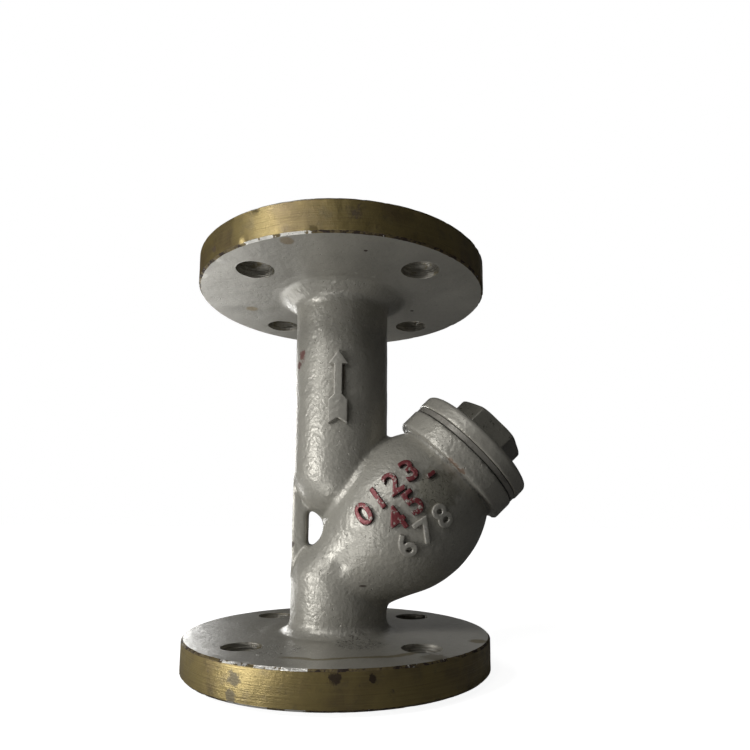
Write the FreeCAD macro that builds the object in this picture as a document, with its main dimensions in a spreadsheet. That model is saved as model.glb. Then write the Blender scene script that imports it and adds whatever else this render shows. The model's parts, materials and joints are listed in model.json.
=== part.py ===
"""Flanged Y strainer of size class 25, as a parametric FreeCAD document.

Frame: millimetres, +Z up along the pipe run, origin at the centre of the
inlet flange's raised face. The strainer branch leans towards +X, and the
plane y = 0 is the plane of symmetry.

Two families of sketch planes are used. Run sketches lie on the XZ plane.
Branch sketches lie on the same plane but are turned about the point where
the branch axis meets the pipe axis, so that their vertical axis is the
branch axis: there X is a radius and Y a distance along the branch.
"""
import FreeCAD, Part
import math
import os
import re

import Sketcher

SIZES = [
    # (alias, value, what it is)
    ("flange_diameter", 115.0, "outside diameter of both flanges"),
    ("flange_rim", 12.0, "thickness of a flange at its rim"),
    ("face_diameter", 65.0, "raised sealing face"),
    ("face_height", 2.0, "height of the raised face"),
    ("rim_chamfer", 0.8, "broken edge of the flange rims"),
    ("bolt_circle", 85.0, "pitch circle of the flange bolts"),
    ("bolt_hole", 14.0, "diameter of a bolt hole"),
    ("bolt_count", 4, "bolts in each flange"),
    ("face_to_face", 160.0, "length between the two sealing faces"),
    ("pipe_bore", 25.0, "bore of the run"),
    ("pipe_wall", 6.1, "wall of the run and of the elbow"),
    ("inlet_fillet", 9.0, "cast fillet between inlet flange and neck"),
    ("outlet_fillet", 7.0, "cast fillet between outlet flange and pipe"),
    ("branch_angle", 45.0, "lean of the branch from the pipe axis"),
    ("branch_height", 32.5, "where the branch axis leaves the pipe axis"),
    ("outlet_start", 74.5, "height where the outlet pipe's round end sits"),
    ("bulb_radius", 29.2, "largest radius of the strainer chamber outside"),
    ("bulb_curve", 40.0, "radius of the chamber's barrel curve"),
    ("bulb_centre", 37.3, "chamber's widest place along the branch"),
    ("bulb_wall", 5.5, "wall of the chamber"),
    ("collar_radius", 26.0, "outside radius of the threaded collar"),
    ("collar_step", 2.1, "rise from the chamber to the collar"),
    ("collar_end", 68.5, "sealing face of the collar along the branch"),
    ("collar_edge", 0.6, "broken edge of the collar"),
    ("web_left", 18.3, "left face of the web, from the pipe axis"),
    ("web_thickness", 9.0, "thickness of the web plate"),
    ("web_reach", 12.0, "how far the web reaches into the chamber wall"),
    ("window_left", 12.7, "left side of the web's window"),
    ("window_bottom", 46.0, "bottom of the window"),
    ("window_top", 59.3, "top of the window"),
    ("window_bulge", 7.0, "radius of the window's right side"),
    ("window_corner", 2.0, "radius of the window's left corners"),
    ("arrow_relief", 1.3, "how far the flow arrow stands proud"),
    ("arrow_bottom", 91.5, "lower end of the flow arrow"),
    ("arrow_tail", 10.9, "length of the arrow's split tail"),
    ("arrow_shaft", 11.9, "length of the arrow's shaft"),
    ("arrow_head", 5.0, "length of the arrow's head"),
    ("arrow_width", 6.3, "width of head and tail"),
    ("arrow_line", 2.6, "width of the shaft"),
    ("arrow_notch", 2.0, "depth of the tail's notch"),
    ("thread_radius", 20.0, "outside radius of the cover thread"),
    ("thread_pitch", 2.0, "pitch of the cover thread"),
    ("thread_clearance", 0.15, "radial room round the cover thread"),
    ("spigot_length", 13.0, "threaded spigot below the gasket"),
    ("spigot_relief", 2.2, "plain relief behind the thread"),
    ("gasket_thickness", 2.5, "thickness of the cover gasket"),
    ("gasket_radius", 25.6, "outside radius of the gasket"),
    ("gasket_ring", 2.2, "radial width of the gasket's guide ring"),
    ("gasket_play", 0.3, "room between gasket and spigot"),
    ("winding_strip", 0.25, "thickness of the gasket's steel strip"),
    ("winding_turns", 3, "turns of the steel strip"),
    ("cap_radius", 26.0, "outside radius of the cap"),
    ("cap_rim", 6.0, "height of the cap's rim"),
    ("cap_round", 1.6, "rounding of the cap's top edge"),
    ("hex_flats", 27.0, "width across the flats of the hexagon"),
    ("hex_height", 9.5, "height of the hexagon on the cap"),
    ("hex_chamfer", 1.2, "chamfer of the hexagon's corners, along their radius"),
    ("hex_chamfer_drop", 1.8, "height of that chamfer past the corners"),
    ("seat_start", 12.0, "screen seat along the branch"),
    ("screen_radius", 16.0, "outside radius of the screen's end rings"),
    ("screen_play", 0.2, "radial room round the end rings"),
    ("sheet_thickness", 0.8, "perforated sheet, and the rings on it"),
    ("ring_length", 5.0, "length of an end ring"),
    ("ring_edge", 0.16, "broken outer edge of the end rings and guide ring"),
    ("weld_gap", 0.05, "gap that stands for a weld line"),
    ("mesh_thickness", 0.4, "thickness of the woven lining"),
    ("mesh_edge", 0.04, "broken edge of the woven lining"),
    ("seam_width", 6.0, "width of the sheet's lap"),
    ("hole_diameter", 3.0, "perforation"),
    ("hole_pitch", 5.2, "smallest pitch of the perforation"),
    ("recess_depth", 10.0, "depth of the cover's recess for the screen"),
    ("screen_float", 0.3, "end play of the screen"),
    ("overshoot", 1.0, "how far a cutting shape passes the surface"),
]

# How the Sketcher numbers its origin and the points of a line or circle.
ORIGIN_POINT = -1
START = 1
END = 2
CENTRE = 3

FULL_TURN = 360
THREAD_FLANK = 30
THREAD_DEPTH = 0.6134  # of an outside thread, in pitches
HEXAGON = 6
HEXAGON_STEP = FULL_TURN // HEXAGON
WINDING_STEPS = 12  # points in each turn of the steel strip
STAGGER = 0.5  # shift of every second row of holes, in columns

doc = FreeCAD.newDocument("y_strainer")
sheet = doc.addObject("Spreadsheet::Sheet", "Sizes")
for row, (alias, value, note) in enumerate(SIZES, 1):
    sheet.set(f"A{row}", note)
    sheet.set(f"B{row}", str(value))
    sheet.setAlias(f"B{row}", alias)
doc.recompute()


def number(expression):
    """Value of an expression over the spreadsheet's aliases."""
    return float(sheet.evalExpression(expression))


def sheet_names(expression):
    """The same expression as another object has to write it."""
    aliases = "|".join(alias for alias, _, _ in SIZES)
    return re.sub(rf"\b({aliases})\b", r"Sizes.\1", expression)


def bind(thing, path, expression):
    """Tie one property of an object to the spreadsheet."""
    thing.setExpression(path, sheet_names(expression))


# Lengths that several pieces share, each written once.

PIPE_RADIUS = "(pipe_bore / 2 + pipe_wall)"
BORE_RADIUS = "(pipe_bore / 2)"
FLANGE_BACK = "(face_height + flange_rim)"
BULB_OFFSET = "(bulb_curve - bulb_radius)"
INNER_CURVE = "(bulb_curve - bulb_wall)"
SEAT_RADIUS = "(screen_radius + screen_play)"
THREAD_BORE = "(thread_radius + thread_clearance)"
THREAD_ROOT = f"(thread_radius - {THREAD_DEPTH} * thread_pitch)"
GASKET_INNER = "(thread_radius + gasket_play)"
HEAD_START = "(collar_end + gasket_thickness)"
CAP_TOP = f"({HEAD_START} + cap_rim)"
HEX_TOP = f"({CAP_TOP} + hex_height)"
SPIGOT_START = "(collar_end - spigot_length)"
RECESS_END = f"({SPIGOT_START} + recess_depth)"
SHEET_RADIUS = "(screen_radius - sheet_thickness)"
SHEET_INNER = f"({SHEET_RADIUS} - sheet_thickness)"
SCREEN_END = f"({RECESS_END} - screen_float)"


def on_curve(radius, curve, side):
    """Where a barrel curve about the chamber's centre has a radius."""
    drop = f"({radius} + {BULB_OFFSET})"
    return f"(bulb_centre {side} sqrt({curve}^2 - {drop}^2))"


def new_body(label):
    body = doc.addObject("PartDesign::Body", label)
    body.Label = label
    return body


def new_sketch(body, name, role="XZ_Plane"):
    sketch = body.newObject("Sketcher::SketchObject", name)
    planes = body.Origin.OriginFeatures
    plane = next(item for item in planes if item.Role == role)
    sketch.AttachmentSupport = [(plane, "")]
    sketch.MapMode = "FlatFace"
    return sketch


def turn_sketch(sketch, height, turn):
    """Move a sketch up its plane and turn it clockwise there."""
    upright = FreeCAD.Rotation(FreeCAD.Vector(0, 0, 1), -number(turn))
    lift = FreeCAD.Vector(0, number(height), 0)
    sketch.AttachmentOffset = FreeCAD.Placement(lift, upright)
    bind(sketch, "AttachmentOffset.Base.y", height)
    bind(sketch, "AttachmentOffset.Rotation.Angle", f"-({turn})")


def raise_sketch(sketch, height):
    """Lift a sketch off its plane along the plane's normal."""
    bind(sketch, "AttachmentOffset.Base.z", height)


def pin_point(sketch, geometry, end, x_expression, y_expression):
    """Hold one end of a line or arc at an expression's place."""
    for kind, text in (("DistanceX", x_expression), ("DistanceY", y_expression)):
        rule = Sketcher.Constraint(kind, ORIGIN_POINT, START, geometry, end, number(text))
        index = sketch.addConstraint(rule)
        bind(sketch, f"Constraints[{index}]", text)


def arc_between(first, last, radius):
    """Arc from first to last; a positive radius bulges to the right."""
    chord = last - first
    half = chord.Length / 2
    middle = (first + last) * 0.5
    left = FreeCAD.Vector(-chord.y, chord.x, 0).normalize()
    rise = math.sqrt(max(radius * radius - half * half, 0))
    centre = middle + left * (rise if radius > 0 else -rise)
    turning_left = radius > 0
    begin, finish = (first, last) if turning_left else (last, first)
    angles = []
    for point in (begin, finish):
        spoke = point - centre
        angles.append(math.atan2(spoke.y, spoke.x))
    circle = Part.Circle(centre, FreeCAD.Vector(0, 0, 1), abs(radius))
    return Part.ArcOfCircle(circle, *angles), turning_left


def draw_outline(sketch, corners):
    """Closed outline through corners, each (x, y) or (x, y, arc radius).

    The radius belongs to the stretch that starts at the corner. Going round
    the outline, a positive arc turns left and a negative one turns right.
    """
    points = [FreeCAD.Vector(number(c[0]), number(c[1]), 0) for c in corners]
    ends = []
    for index, corner in enumerate(corners):
        first = points[index]
        last = points[(index + 1) % len(points)]
        if len(corner) == 3:
            radius = number(corner[2])
            arc, forward = arc_between(first, last, radius)
            geometry = sketch.addGeometry(arc, False)
            ends.append((START, END) if forward else (END, START))
        else:
            geometry = sketch.addGeometry(Part.LineSegment(first, last), False)
            ends.append((START, END))
    for index, corner in enumerate(corners):
        following = (index + 1) % len(corners)
        rule = ("Coincident", index, ends[index][1], following, ends[following][0])
        sketch.addConstraint(Sketcher.Constraint(*rule))
        pin_point(sketch, index, ends[index][0], corner[0], corner[1])
        if len(corner) == 3:
            radius = abs(number(corner[2]))
            arc_rule = Sketcher.Constraint("Radius", index, radius)
            place = sketch.addConstraint(arc_rule)
            bind(sketch, f"Constraints[{place}]", f"abs({corner[2]})")
    doc.recompute()


def revolve(body, name, sketch, kind="PartDesign::Revolution"):
    feature = body.newObject(kind, name)
    feature.Profile = sketch
    feature.ReferenceAxis = (sketch, ["V_Axis"])
    feature.Angle = FULL_TURN
    sketch.Visibility = False
    doc.recompute()
    return feature


def cut_round(body, name, sketch):
    """Groove right round the sketch's upright axis; it must remove metal."""
    before = body.Shape.Volume
    feature = revolve(body, name, sketch, "PartDesign::Groove")
    if body.Shape.Volume >= before:
        raise RuntimeError(f"{name} removed nothing")
    return feature


def extrude(body, name, sketch, length, kind="PartDesign::Pad", both_ways=False):
    feature = body.newObject(kind, name)
    feature.Profile = sketch
    bind(feature, "Length", length)
    feature.Midplane = both_ways
    sketch.Visibility = False
    doc.recompute()
    return feature


# Casting: one piece, with both flanges, elbow, chamber, collar, web and pipe.

def branch_outside(body):
    sketch = new_sketch(body, "branch_outline")
    turn_sketch(sketch, "branch_height", "branch_angle")
    bulb_end = "(collar_radius - collar_step)"
    bulb_stop = on_curve(bulb_end, "bulb_curve", "+")
    draw_outline(sketch, [
        ("0", "0"),
        (PIPE_RADIUS, "0"),
        (PIPE_RADIUS, on_curve(PIPE_RADIUS, "bulb_curve", "-"), "bulb_curve"),
        (bulb_end, bulb_stop),
        ("collar_radius", f"{bulb_stop} + collar_step"),
        ("collar_radius", "collar_end - collar_edge"),
        ("collar_radius - collar_edge", "collar_end"),
        ("0", "collar_end"),
    ])
    revolve(body, "branch_outside", sketch)


def flange_corners(fillet, face, back):
    """Outline of a flange from its neck's foot to the middle of its face.

    face and back are heights; the signs of the steps follow from them.
    """
    toward_face = "-1" if face == "0" else "1"
    rim_edge = "(flange_diameter / 2 - rim_chamfer)"
    rim_radius = "(flange_diameter / 2)"
    step = f"({toward_face} * rim_chamfer)"
    shoulder = f"({back} + {toward_face} * flange_rim)"
    return [
        (f"{PIPE_RADIUS} + {fillet}", back),
        (rim_edge, back),
        (rim_radius, f"{back} + {step}"),
        (rim_radius, f"{shoulder} - {step}"),
        (rim_edge, shoulder),
        ("face_diameter / 2", shoulder),
        ("face_diameter / 2", face),
        ("0", face),
    ]


def inlet_outside(body):
    sketch = new_sketch(body, "inlet_outline")
    flange = flange_corners("inlet_fillet", "0", FLANGE_BACK)
    neck_foot = f"{FLANGE_BACK} + inlet_fillet"
    neck = [
        ("0", f"branch_height + {PIPE_RADIUS}", f"-{PIPE_RADIUS}"),
        (PIPE_RADIUS, "branch_height"),
        (PIPE_RADIUS, neck_foot, "inlet_fillet"),
    ]
    draw_outline(sketch, neck + flange)
    revolve(body, "inlet_neck_and_flange", sketch)


def outlet_outside(body):
    sketch = new_sketch(body, "outlet_outline")
    back = f"(face_to_face - {FLANGE_BACK})"
    flange = flange_corners("outlet_fillet", "face_to_face", back)
    pipe = [
        ("0", f"outlet_start - {PIPE_RADIUS}", PIPE_RADIUS),
        (PIPE_RADIUS, "outlet_start"),
        (PIPE_RADIUS, f"{back} - outlet_fillet", "-outlet_fillet"),
    ]
    draw_outline(sketch, pipe + flange)
    revolve(body, "outlet_pipe_and_flange", sketch)


def web_plate(body):
    sketch = new_sketch(body, "web_outline")
    draw_outline(sketch, [
        ("-web_left", "branch_height"),
        ("0", "branch_height"),
        ("web_reach", "(branch_height + outlet_start) / 2"),
        ("0", "outlet_start"),
        ("-web_left", "outlet_start"),
    ])
    extrude(body, "web", sketch, "web_thickness", both_ways=True)


def web_window(body):
    sketch = new_sketch(body, "window_outline")
    bulge_start = "(window_corner - window_left)"
    draw_outline(sketch, [
        ("-window_left", "window_top - window_corner"),
        ("-window_left", "window_bottom + window_corner", "window_corner"),
        (bulge_start, "window_bottom", "window_bulge"),
        (bulge_start, "window_top", "window_corner"),
    ])
    reach = "web_thickness + 2 * overshoot"
    extrude(body, "window", sketch, reach, "PartDesign::Pocket", True)


def flow_arrow(body):
    """Raised arrow on the outlet pipe's front, pointing with the flow."""
    sketch = new_sketch(body, "arrow_outline")
    half = "(arrow_width / 2)"
    line = "(arrow_line / 2)"
    tail_top = "(arrow_bottom + arrow_tail)"
    head_start = f"({tail_top} + arrow_shaft)"
    draw_outline(sketch, [
        ("0", "arrow_bottom + arrow_notch"),
        (half, "arrow_bottom"),
        (half, f"{tail_top} - arrow_notch"),
        (line, tail_top),
        (line, head_start),
        (half, head_start),
        ("0", f"{head_start} + arrow_head"),
        (f"-{half}", head_start),
        (f"-{line}", head_start),
        (f"-{line}", tail_top),
        (f"-{half}", f"{tail_top} - arrow_notch"),
        (f"-{half}", "arrow_bottom"),
    ])
    extrude(body, "arrow", sketch, f"{PIPE_RADIUS} + arrow_relief")


def inlet_passage(body):
    sketch = new_sketch(body, "inlet_bore_outline")
    draw_outline(sketch, [
        ("0", "-overshoot"),
        (BORE_RADIUS, "-overshoot"),
        (BORE_RADIUS, "branch_height", BORE_RADIUS),
        ("0", f"branch_height + {BORE_RADIUS}"),
    ])
    cut_round(body, "inlet_bore", sketch)


def chamber(body):
    """Passage, screen seat, screen guide, chamber and cover bore."""
    sketch = new_sketch(body, "chamber_outline")
    turn_sketch(sketch, "branch_height", "branch_angle")
    draw_outline(sketch, [
        ("0", "0"),
        (BORE_RADIUS, "0"),
        (BORE_RADIUS, "seat_start"),
        (SEAT_RADIUS, "seat_start"),
        (SEAT_RADIUS, on_curve(SEAT_RADIUS, INNER_CURVE, "-"), INNER_CURVE),
        (THREAD_BORE, on_curve(THREAD_BORE, INNER_CURVE, "+")),
        (THREAD_BORE, "collar_end + overshoot"),
        ("0", "collar_end + overshoot"),
    ])
    cut_round(body, "chamber", sketch)


def outlet_passage(body):
    sketch = new_sketch(body, "outlet_bore_outline")
    draw_outline(sketch, [
        ("0", f"outlet_start - {BORE_RADIUS}", BORE_RADIUS),
        (BORE_RADIUS, "outlet_start"),
        (BORE_RADIUS, "face_to_face + overshoot"),
        ("0", "face_to_face + overshoot"),
    ])
    cut_round(body, "outlet_bore", sketch)
    port = new_sketch(body, "port_outline")
    turn_sketch(port, "outlet_start", "90 + branch_angle")
    reach = "((outlet_start - branch_height) * cos(branch_angle * 1deg))"
    draw_outline(port, [
        ("0", "0"),
        (BORE_RADIUS, "0"),
        (BORE_RADIUS, reach),
        ("0", reach),
    ])
    cut_round(body, "outlet_port", port)


def bolt_holes(body, name, height):
    sketch = new_sketch(body, f"{name}_circle", "XY_Plane")
    raise_sketch(sketch, height)
    circle = Part.Circle(FreeCAD.Vector(0, 0, 0), FreeCAD.Vector(0, 0, 1), 1)
    hole = sketch.addGeometry(circle, False)
    half_step = "(180deg / bolt_count)"
    across = f"bolt_circle / 2 * cos{half_step}"
    along = f"bolt_circle / 2 * sin{half_step}"
    pin_point(sketch, hole, CENTRE, across, along)
    rule = Sketcher.Constraint("Diameter", hole, number("bolt_hole"))
    place = sketch.addConstraint(rule)
    bind(sketch, f"Constraints[{place}]", "bolt_hole")
    depth = f"{FLANGE_BACK} + overshoot"
    pocket = extrude(body, name, sketch, depth, "PartDesign::Pocket")
    pattern = body.newObject("PartDesign::PolarPattern", f"{name}_round")
    pattern.Originals = [pocket]
    axes = body.Origin.OriginFeatures
    pattern.Axis = (next(item for item in axes if item.Role == "Z_Axis"), [""])
    pattern.Angle = FULL_TURN
    bind(pattern, "Occurrences", "bolt_count")
    body.Tip = pattern
    doc.recompute()


def make_casting():
    body = new_body("body_casting")
    branch_outside(body)
    inlet_outside(body)
    web_plate(body)
    outlet_outside(body)
    flow_arrow(body)
    web_window(body)
    inlet_passage(body)
    chamber(body)
    outlet_passage(body)
    bolt_holes(body, "inlet_bolt_hole", FLANGE_BACK)
    bolt_holes(body, "outlet_bolt_hole", "face_to_face + overshoot")
    return body


# Pieces on the branch are modelled upright, then leaned as a whole.

def lean_on_branch(thing):
    """Stand a piece's own Z axis on the branch axis."""
    turn = FreeCAD.Rotation(FreeCAD.Vector(0, 1, 0), number("branch_angle"))
    lift = FreeCAD.Vector(0, 0, number("branch_height"))
    thing.Placement = FreeCAD.Placement(lift, turn)
    bind(thing, "Placement.Base.z", "branch_height")
    bind(thing, "Placement.Rotation.Angle", "branch_angle")
    doc.recompute()


def tube_body(label, inner, outer, bottom, top, edge="ring_edge"):
    """Plain ring or tube with lightly broken outer edges."""
    body = new_body(label)
    sketch = new_sketch(body, f"{label}_outline")
    draw_outline(sketch, [
        (inner, bottom),
        (f"{outer} - {edge}", bottom),
        (outer, f"{bottom} + {edge}"),
        (outer, f"{top} - {edge}"),
        (f"{outer} - {edge}", top),
        (inner, top),
    ])
    revolve(body, f"{label}_ring", sketch)
    lean_on_branch(body)
    return body


def cover_blank(body):
    """Cap, relief and threaded spigot with the recess for the screen."""
    sketch = new_sketch(body, "cover_outline")
    lead = f"(thread_radius - {THREAD_ROOT})"
    relief = f"({HEAD_START} - gasket_thickness - spigot_relief)"
    draw_outline(sketch, [
        (SEAT_RADIUS, SPIGOT_START),
        (THREAD_ROOT, SPIGOT_START),
        ("thread_radius", f"{SPIGOT_START} + {lead}"),
        ("thread_radius", f"{relief} - {lead}"),
        (THREAD_ROOT, relief),
        (THREAD_ROOT, HEAD_START),
        ("cap_radius", HEAD_START),
        ("cap_radius", f"{CAP_TOP} - cap_round", "cap_round"),
        ("cap_radius - cap_round", CAP_TOP),
        ("0", CAP_TOP),
        ("0", RECESS_END),
        (SEAT_RADIUS, RECESS_END),
    ])
    revolve(body, "cap_and_spigot", sketch)


def cover_hexagon(body):
    sketch = new_sketch(body, "hexagon_outline", "XY_Plane")
    raise_sketch(sketch, f"{CAP_TOP} - cap_round")
    corner = f"(hex_flats / 2 / cos({HEXAGON_STEP // 2}deg))"
    turns = [index * HEXAGON_STEP for index in range(HEXAGON)]
    draw_outline(sketch, [
        (f"{corner} * cos({turn}deg)", f"{corner} * sin({turn}deg)") for turn in turns])
    extrude(body, "hexagon", sketch, "hex_height + cap_round")
    chamfer = new_sketch(body, "hexagon_chamfer_outline")
    beyond = f"({corner} + hex_chamfer)"
    start = f"({corner} - 2 * hex_chamfer)"
    draw_outline(chamfer, [
        (start, HEX_TOP),
        (beyond, f"{HEX_TOP} - hex_chamfer_drop"),
        (beyond, f"{HEX_TOP} + overshoot"),
        (start, f"{HEX_TOP} + overshoot"),
    ])
    cut_round(body, "hexagon_chamfer", chamfer)


def cover_thread(body):
    """Cut the helical groove of the cover's outside thread.

    It starts one pitch below the spigot and runs out in the relief.
    """
    sketch = new_sketch(body, "thread_outline")
    base = f"({SPIGOT_START} - thread_pitch)"
    outer = "(thread_radius + thread_clearance)"
    half = f"(({outer} - {THREAD_ROOT}) * tan({THREAD_FLANK}deg))"
    draw_outline(sketch, [
        (THREAD_ROOT, base),
        (outer, f"{base} - {half}"),
        (outer, f"{base} + {half}"),
    ])
    before = body.Shape.Volume
    helix = body.newObject("PartDesign::SubtractiveHelix", "thread")
    helix.Profile = sketch
    helix.ReferenceAxis = (sketch, ["V_Axis"])
    helix.Mode = "pitch-height-angle"
    bind(helix, "Pitch", "thread_pitch")
    bind(helix, "Height", "spigot_length - spigot_relief + 1.5 * thread_pitch")
    helix.LeftHanded = False
    sketch.Visibility = False
    doc.recompute()
    if body.Shape.Volume >= before:
        raise RuntimeError("the cover thread removed nothing")


def make_cover():
    body = new_body("screen_cover")
    cover_blank(body)
    cover_hexagon(body)
    cover_thread(body)
    lean_on_branch(body)
    return body


# Cover gasket: a steel strip wound with graphite inside a guide ring.

def winding_strip():
    """Flat spiral ribbon, half a turn's growth clear of the filler's rims."""
    turns = number("winding_turns")
    inner = number(GASKET_INNER)
    outer = number("gasket_radius - gasket_ring - weld_gap")
    strip = number("winding_strip")
    steps = int(turns * WINDING_STEPS)
    growth = (outer - strip - inner) / (turns + 1)
    sides = []
    for offset in (0, strip):
        points = []
        for index in range(steps + 1):
            turn = turns * index / steps
            radius = inner + offset + growth * (turn + 0.5)
            angle = 2 * math.pi * turn
            flat = (radius * math.cos(angle), radius * math.sin(angle))
            points.append(FreeCAD.Vector(*flat, number("collar_end")))
        curve = Part.BSplineCurve()
        curve.interpolate(points)
        sides.append(curve.toShape())
    starts = [side.valueAt(side.FirstParameter) for side in sides]
    finishes = [side.valueAt(side.LastParameter) for side in sides]
    caps = [Part.makeLine(*starts), Part.makeLine(*finishes)]
    outline = Part.Wire(Part.__sortEdges__(sides + caps))
    thickness = FreeCAD.Vector(0, 0, number("gasket_thickness"))
    return Part.Face(outline).extrude(thickness)


def make_gasket():
    ring = tube_body(
        "gasket_guide_ring", "gasket_radius - gasket_ring", "gasket_radius",
        "collar_end", HEAD_START)
    winding = doc.addObject("Part::Feature", "gasket_steel_winding")
    winding.Shape = winding_strip()
    blank = doc.addObject("Part::Cylinder", "filler_blank")
    bind(blank, "Radius", "gasket_radius - gasket_ring - weld_gap")
    bind(blank, "Height", "gasket_thickness")
    eye = doc.addObject("Part::Cylinder", "filler_eye")
    bind(eye, "Radius", GASKET_INNER)
    bind(eye, "Height", "gasket_thickness")
    for cylinder in (blank, eye):
        bind(cylinder, "Placement.Base.z", "collar_end")
    washer = doc.addObject("Part::Cut", "filler_washer")
    washer.Base = blank
    washer.Tool = eye
    groove = doc.addObject("Part::Feature", "filler_groove")
    groove.Shape = winding_strip()
    filler = doc.addObject("Part::Cut", "gasket_graphite_filler")
    filler.Base = washer
    filler.Tool = groove
    doc.recompute()
    lean_on_branch(winding)
    lean_on_branch(filler)
    return [ring, winding, filler]


# Screen: perforated sheet rolled to a lap, end rings, woven lining.

def perforation():
    """Radial cutters, staggered from row to row, clear of the lap."""
    radius = number(SHEET_RADIUS)
    start = number("seat_start + ring_length")
    finish = number(f"{SCREEN_END} - ring_length")
    hole = number("hole_diameter")
    pitch = number("hole_pitch")
    lap = number("seam_width")
    rows = int((finish - start - hole) / (pitch * math.sin(math.pi / 3)))
    row_step = (finish - start - hole) / rows
    lap_angle = (lap + hole) / radius
    columns = int((2 * math.pi - lap_angle) * radius / pitch)
    column_step = (2 * math.pi - lap_angle) / columns
    cutters = []
    for row in range(rows):
        height = start + hole / 2 + row_step * (row + 0.5)
        shift = STAGGER / 2 + STAGGER * (row % 2)
        for column in range(columns):
            angle = lap_angle / 2 + column_step * (column + shift)
            way = FreeCAD.Vector(math.cos(angle), math.sin(angle), 0)
            foot = way * (radius / 2)
            foot.z = height
            cutters.append(Part.makeCylinder(hole / 2, radius, foot, way))
    return Part.makeCompound(cutters)


def make_screen_sheet():
    """Rolled sheet with its lap as one piece, then the holes."""
    blank = doc.addObject("Part::Cylinder", "sheet_blank")
    bind(blank, "Radius", SHEET_RADIUS)
    lap = doc.addObject("Part::Cylinder", "lap_blank")
    bind(lap, "Radius", "screen_radius")
    bind(lap, "Angle", f"seam_width / {SHEET_RADIUS} * 1rad / 1deg")
    bind(lap, "Placement.Rotation.Angle", f"-seam_width / {SHEET_RADIUS} / 2 * 1rad / 1deg")
    eye = doc.addObject("Part::Cylinder", "sheet_eye")
    bind(eye, "Radius", SHEET_INNER)
    bind(blank, "Height", f"{SCREEN_END} - seat_start")
    bind(eye, "Height", f"{SCREEN_END} - seat_start")
    bind(blank, "Placement.Base.z", "seat_start")
    bind(eye, "Placement.Base.z", "seat_start")
    inset = "ring_length + screen_float"
    bind(lap, "Placement.Base.z", f"seat_start + {inset}")
    bind(lap, "Height", f"{SCREEN_END} - seat_start - 2 * ({inset})")
    solid = doc.addObject("Part::MultiFuse", "sheet_with_lap")
    solid.Shapes = [blank, lap]
    tube = doc.addObject("Part::Cut", "sheet_tube")
    tube.Base = solid
    tube.Tool = eye
    holes = doc.addObject("Part::Feature", "perforation")
    holes.Shape = perforation()
    screen = doc.addObject("Part::Cut", "screen_perforated_sheet")
    screen.Base = tube
    screen.Tool = holes
    doc.recompute()
    lean_on_branch(screen)
    return screen


def make_screen():
    ring_inner = f"({SHEET_RADIUS} + weld_gap)"
    lining_outer = f"({SHEET_INNER} - weld_gap)"
    lower = tube_body(
        "screen_lower_ring", ring_inner, "screen_radius",
        "seat_start", "seat_start + ring_length")
    upper = tube_body(
        "screen_upper_ring", ring_inner, "screen_radius",
        f"{SCREEN_END} - ring_length", SCREEN_END)
    lining = tube_body(
        "screen_mesh_lining", f"({lining_outer} - mesh_thickness)", lining_outer,
        "seat_start", SCREEN_END, "mesh_edge")
    return [make_screen_sheet(), lower, upper, lining]


def check_document(pieces):
    """Stop if a feature failed or a piece has no sound solid."""
    for item in doc.Objects:
        if "Invalid" in item.State or "Error" in item.State:
            raise RuntimeError(f"{item.Label} failed: {item.State}")
    for piece in pieces:
        shape = piece.Shape
        if shape.isNull() or not shape.isValid() or not shape.Solids:
            raise RuntimeError(f"{piece.Label} has no sound solid")


def write_pieces(pieces):
    os.makedirs("parts", exist_ok=True)
    for piece in pieces:
        box = piece.Shape.BoundBox
        piece.Shape.exportStep(f"parts/{piece.Label}.step")
        size = f"{box.XLength:.1f} x {box.YLength:.1f} x {box.ZLength:.1f}"
        volume = piece.Shape.Volume / 1000
        print(f"{piece.Label}: {len(piece.Shape.Solids)} solid, {size} mm, {volume:.2f} cm3")


pieces = [make_casting(), make_cover()] + make_gasket() + make_screen()
doc.recompute()
check_document(pieces)
write_pieces(pieces)
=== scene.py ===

# %% [markdown]
# # A flanged Y strainer
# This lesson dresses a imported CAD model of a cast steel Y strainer. The CAD
# part brings every piece at its real size. Here the cast skin, the raised
# marks, the screen's wire cloth and all the finishes are made. Everything is
# in metres, with Z up along the pipe run and the branch leaning towards X.

# %% Load the frame
import json
import math

import bmesh
import bpy
from mathutils import Matrix, Vector, noise


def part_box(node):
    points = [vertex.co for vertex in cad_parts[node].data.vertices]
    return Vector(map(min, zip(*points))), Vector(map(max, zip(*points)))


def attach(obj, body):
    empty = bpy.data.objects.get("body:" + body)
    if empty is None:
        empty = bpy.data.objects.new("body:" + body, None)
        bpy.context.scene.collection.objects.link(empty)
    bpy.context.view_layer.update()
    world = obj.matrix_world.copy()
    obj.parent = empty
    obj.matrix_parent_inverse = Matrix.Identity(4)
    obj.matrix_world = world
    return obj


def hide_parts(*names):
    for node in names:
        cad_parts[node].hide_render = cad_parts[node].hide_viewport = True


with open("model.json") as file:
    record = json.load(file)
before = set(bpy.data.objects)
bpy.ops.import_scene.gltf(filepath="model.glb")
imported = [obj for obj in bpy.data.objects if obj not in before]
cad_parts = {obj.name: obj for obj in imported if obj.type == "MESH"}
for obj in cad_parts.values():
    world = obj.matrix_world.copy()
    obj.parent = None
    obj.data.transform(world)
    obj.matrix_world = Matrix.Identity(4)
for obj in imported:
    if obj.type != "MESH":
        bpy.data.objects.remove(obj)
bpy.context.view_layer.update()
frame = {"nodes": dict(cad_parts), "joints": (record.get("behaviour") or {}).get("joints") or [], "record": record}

# %% [markdown]
# ## Sizes
# The overall sizes are read from the frame: the flange from the casting's
# box, the bolt circle from the mounts, and the branch axis from the cover's
# joint. Sizes that the frame doesn't name are written once, in millimetres
# times MM.

# %% Read and name the sizes
MM = 0.001

casting_low, casting_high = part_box("body_casting")
flange_radius = casting_high.y
length = casting_high.z - casting_low.z

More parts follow.
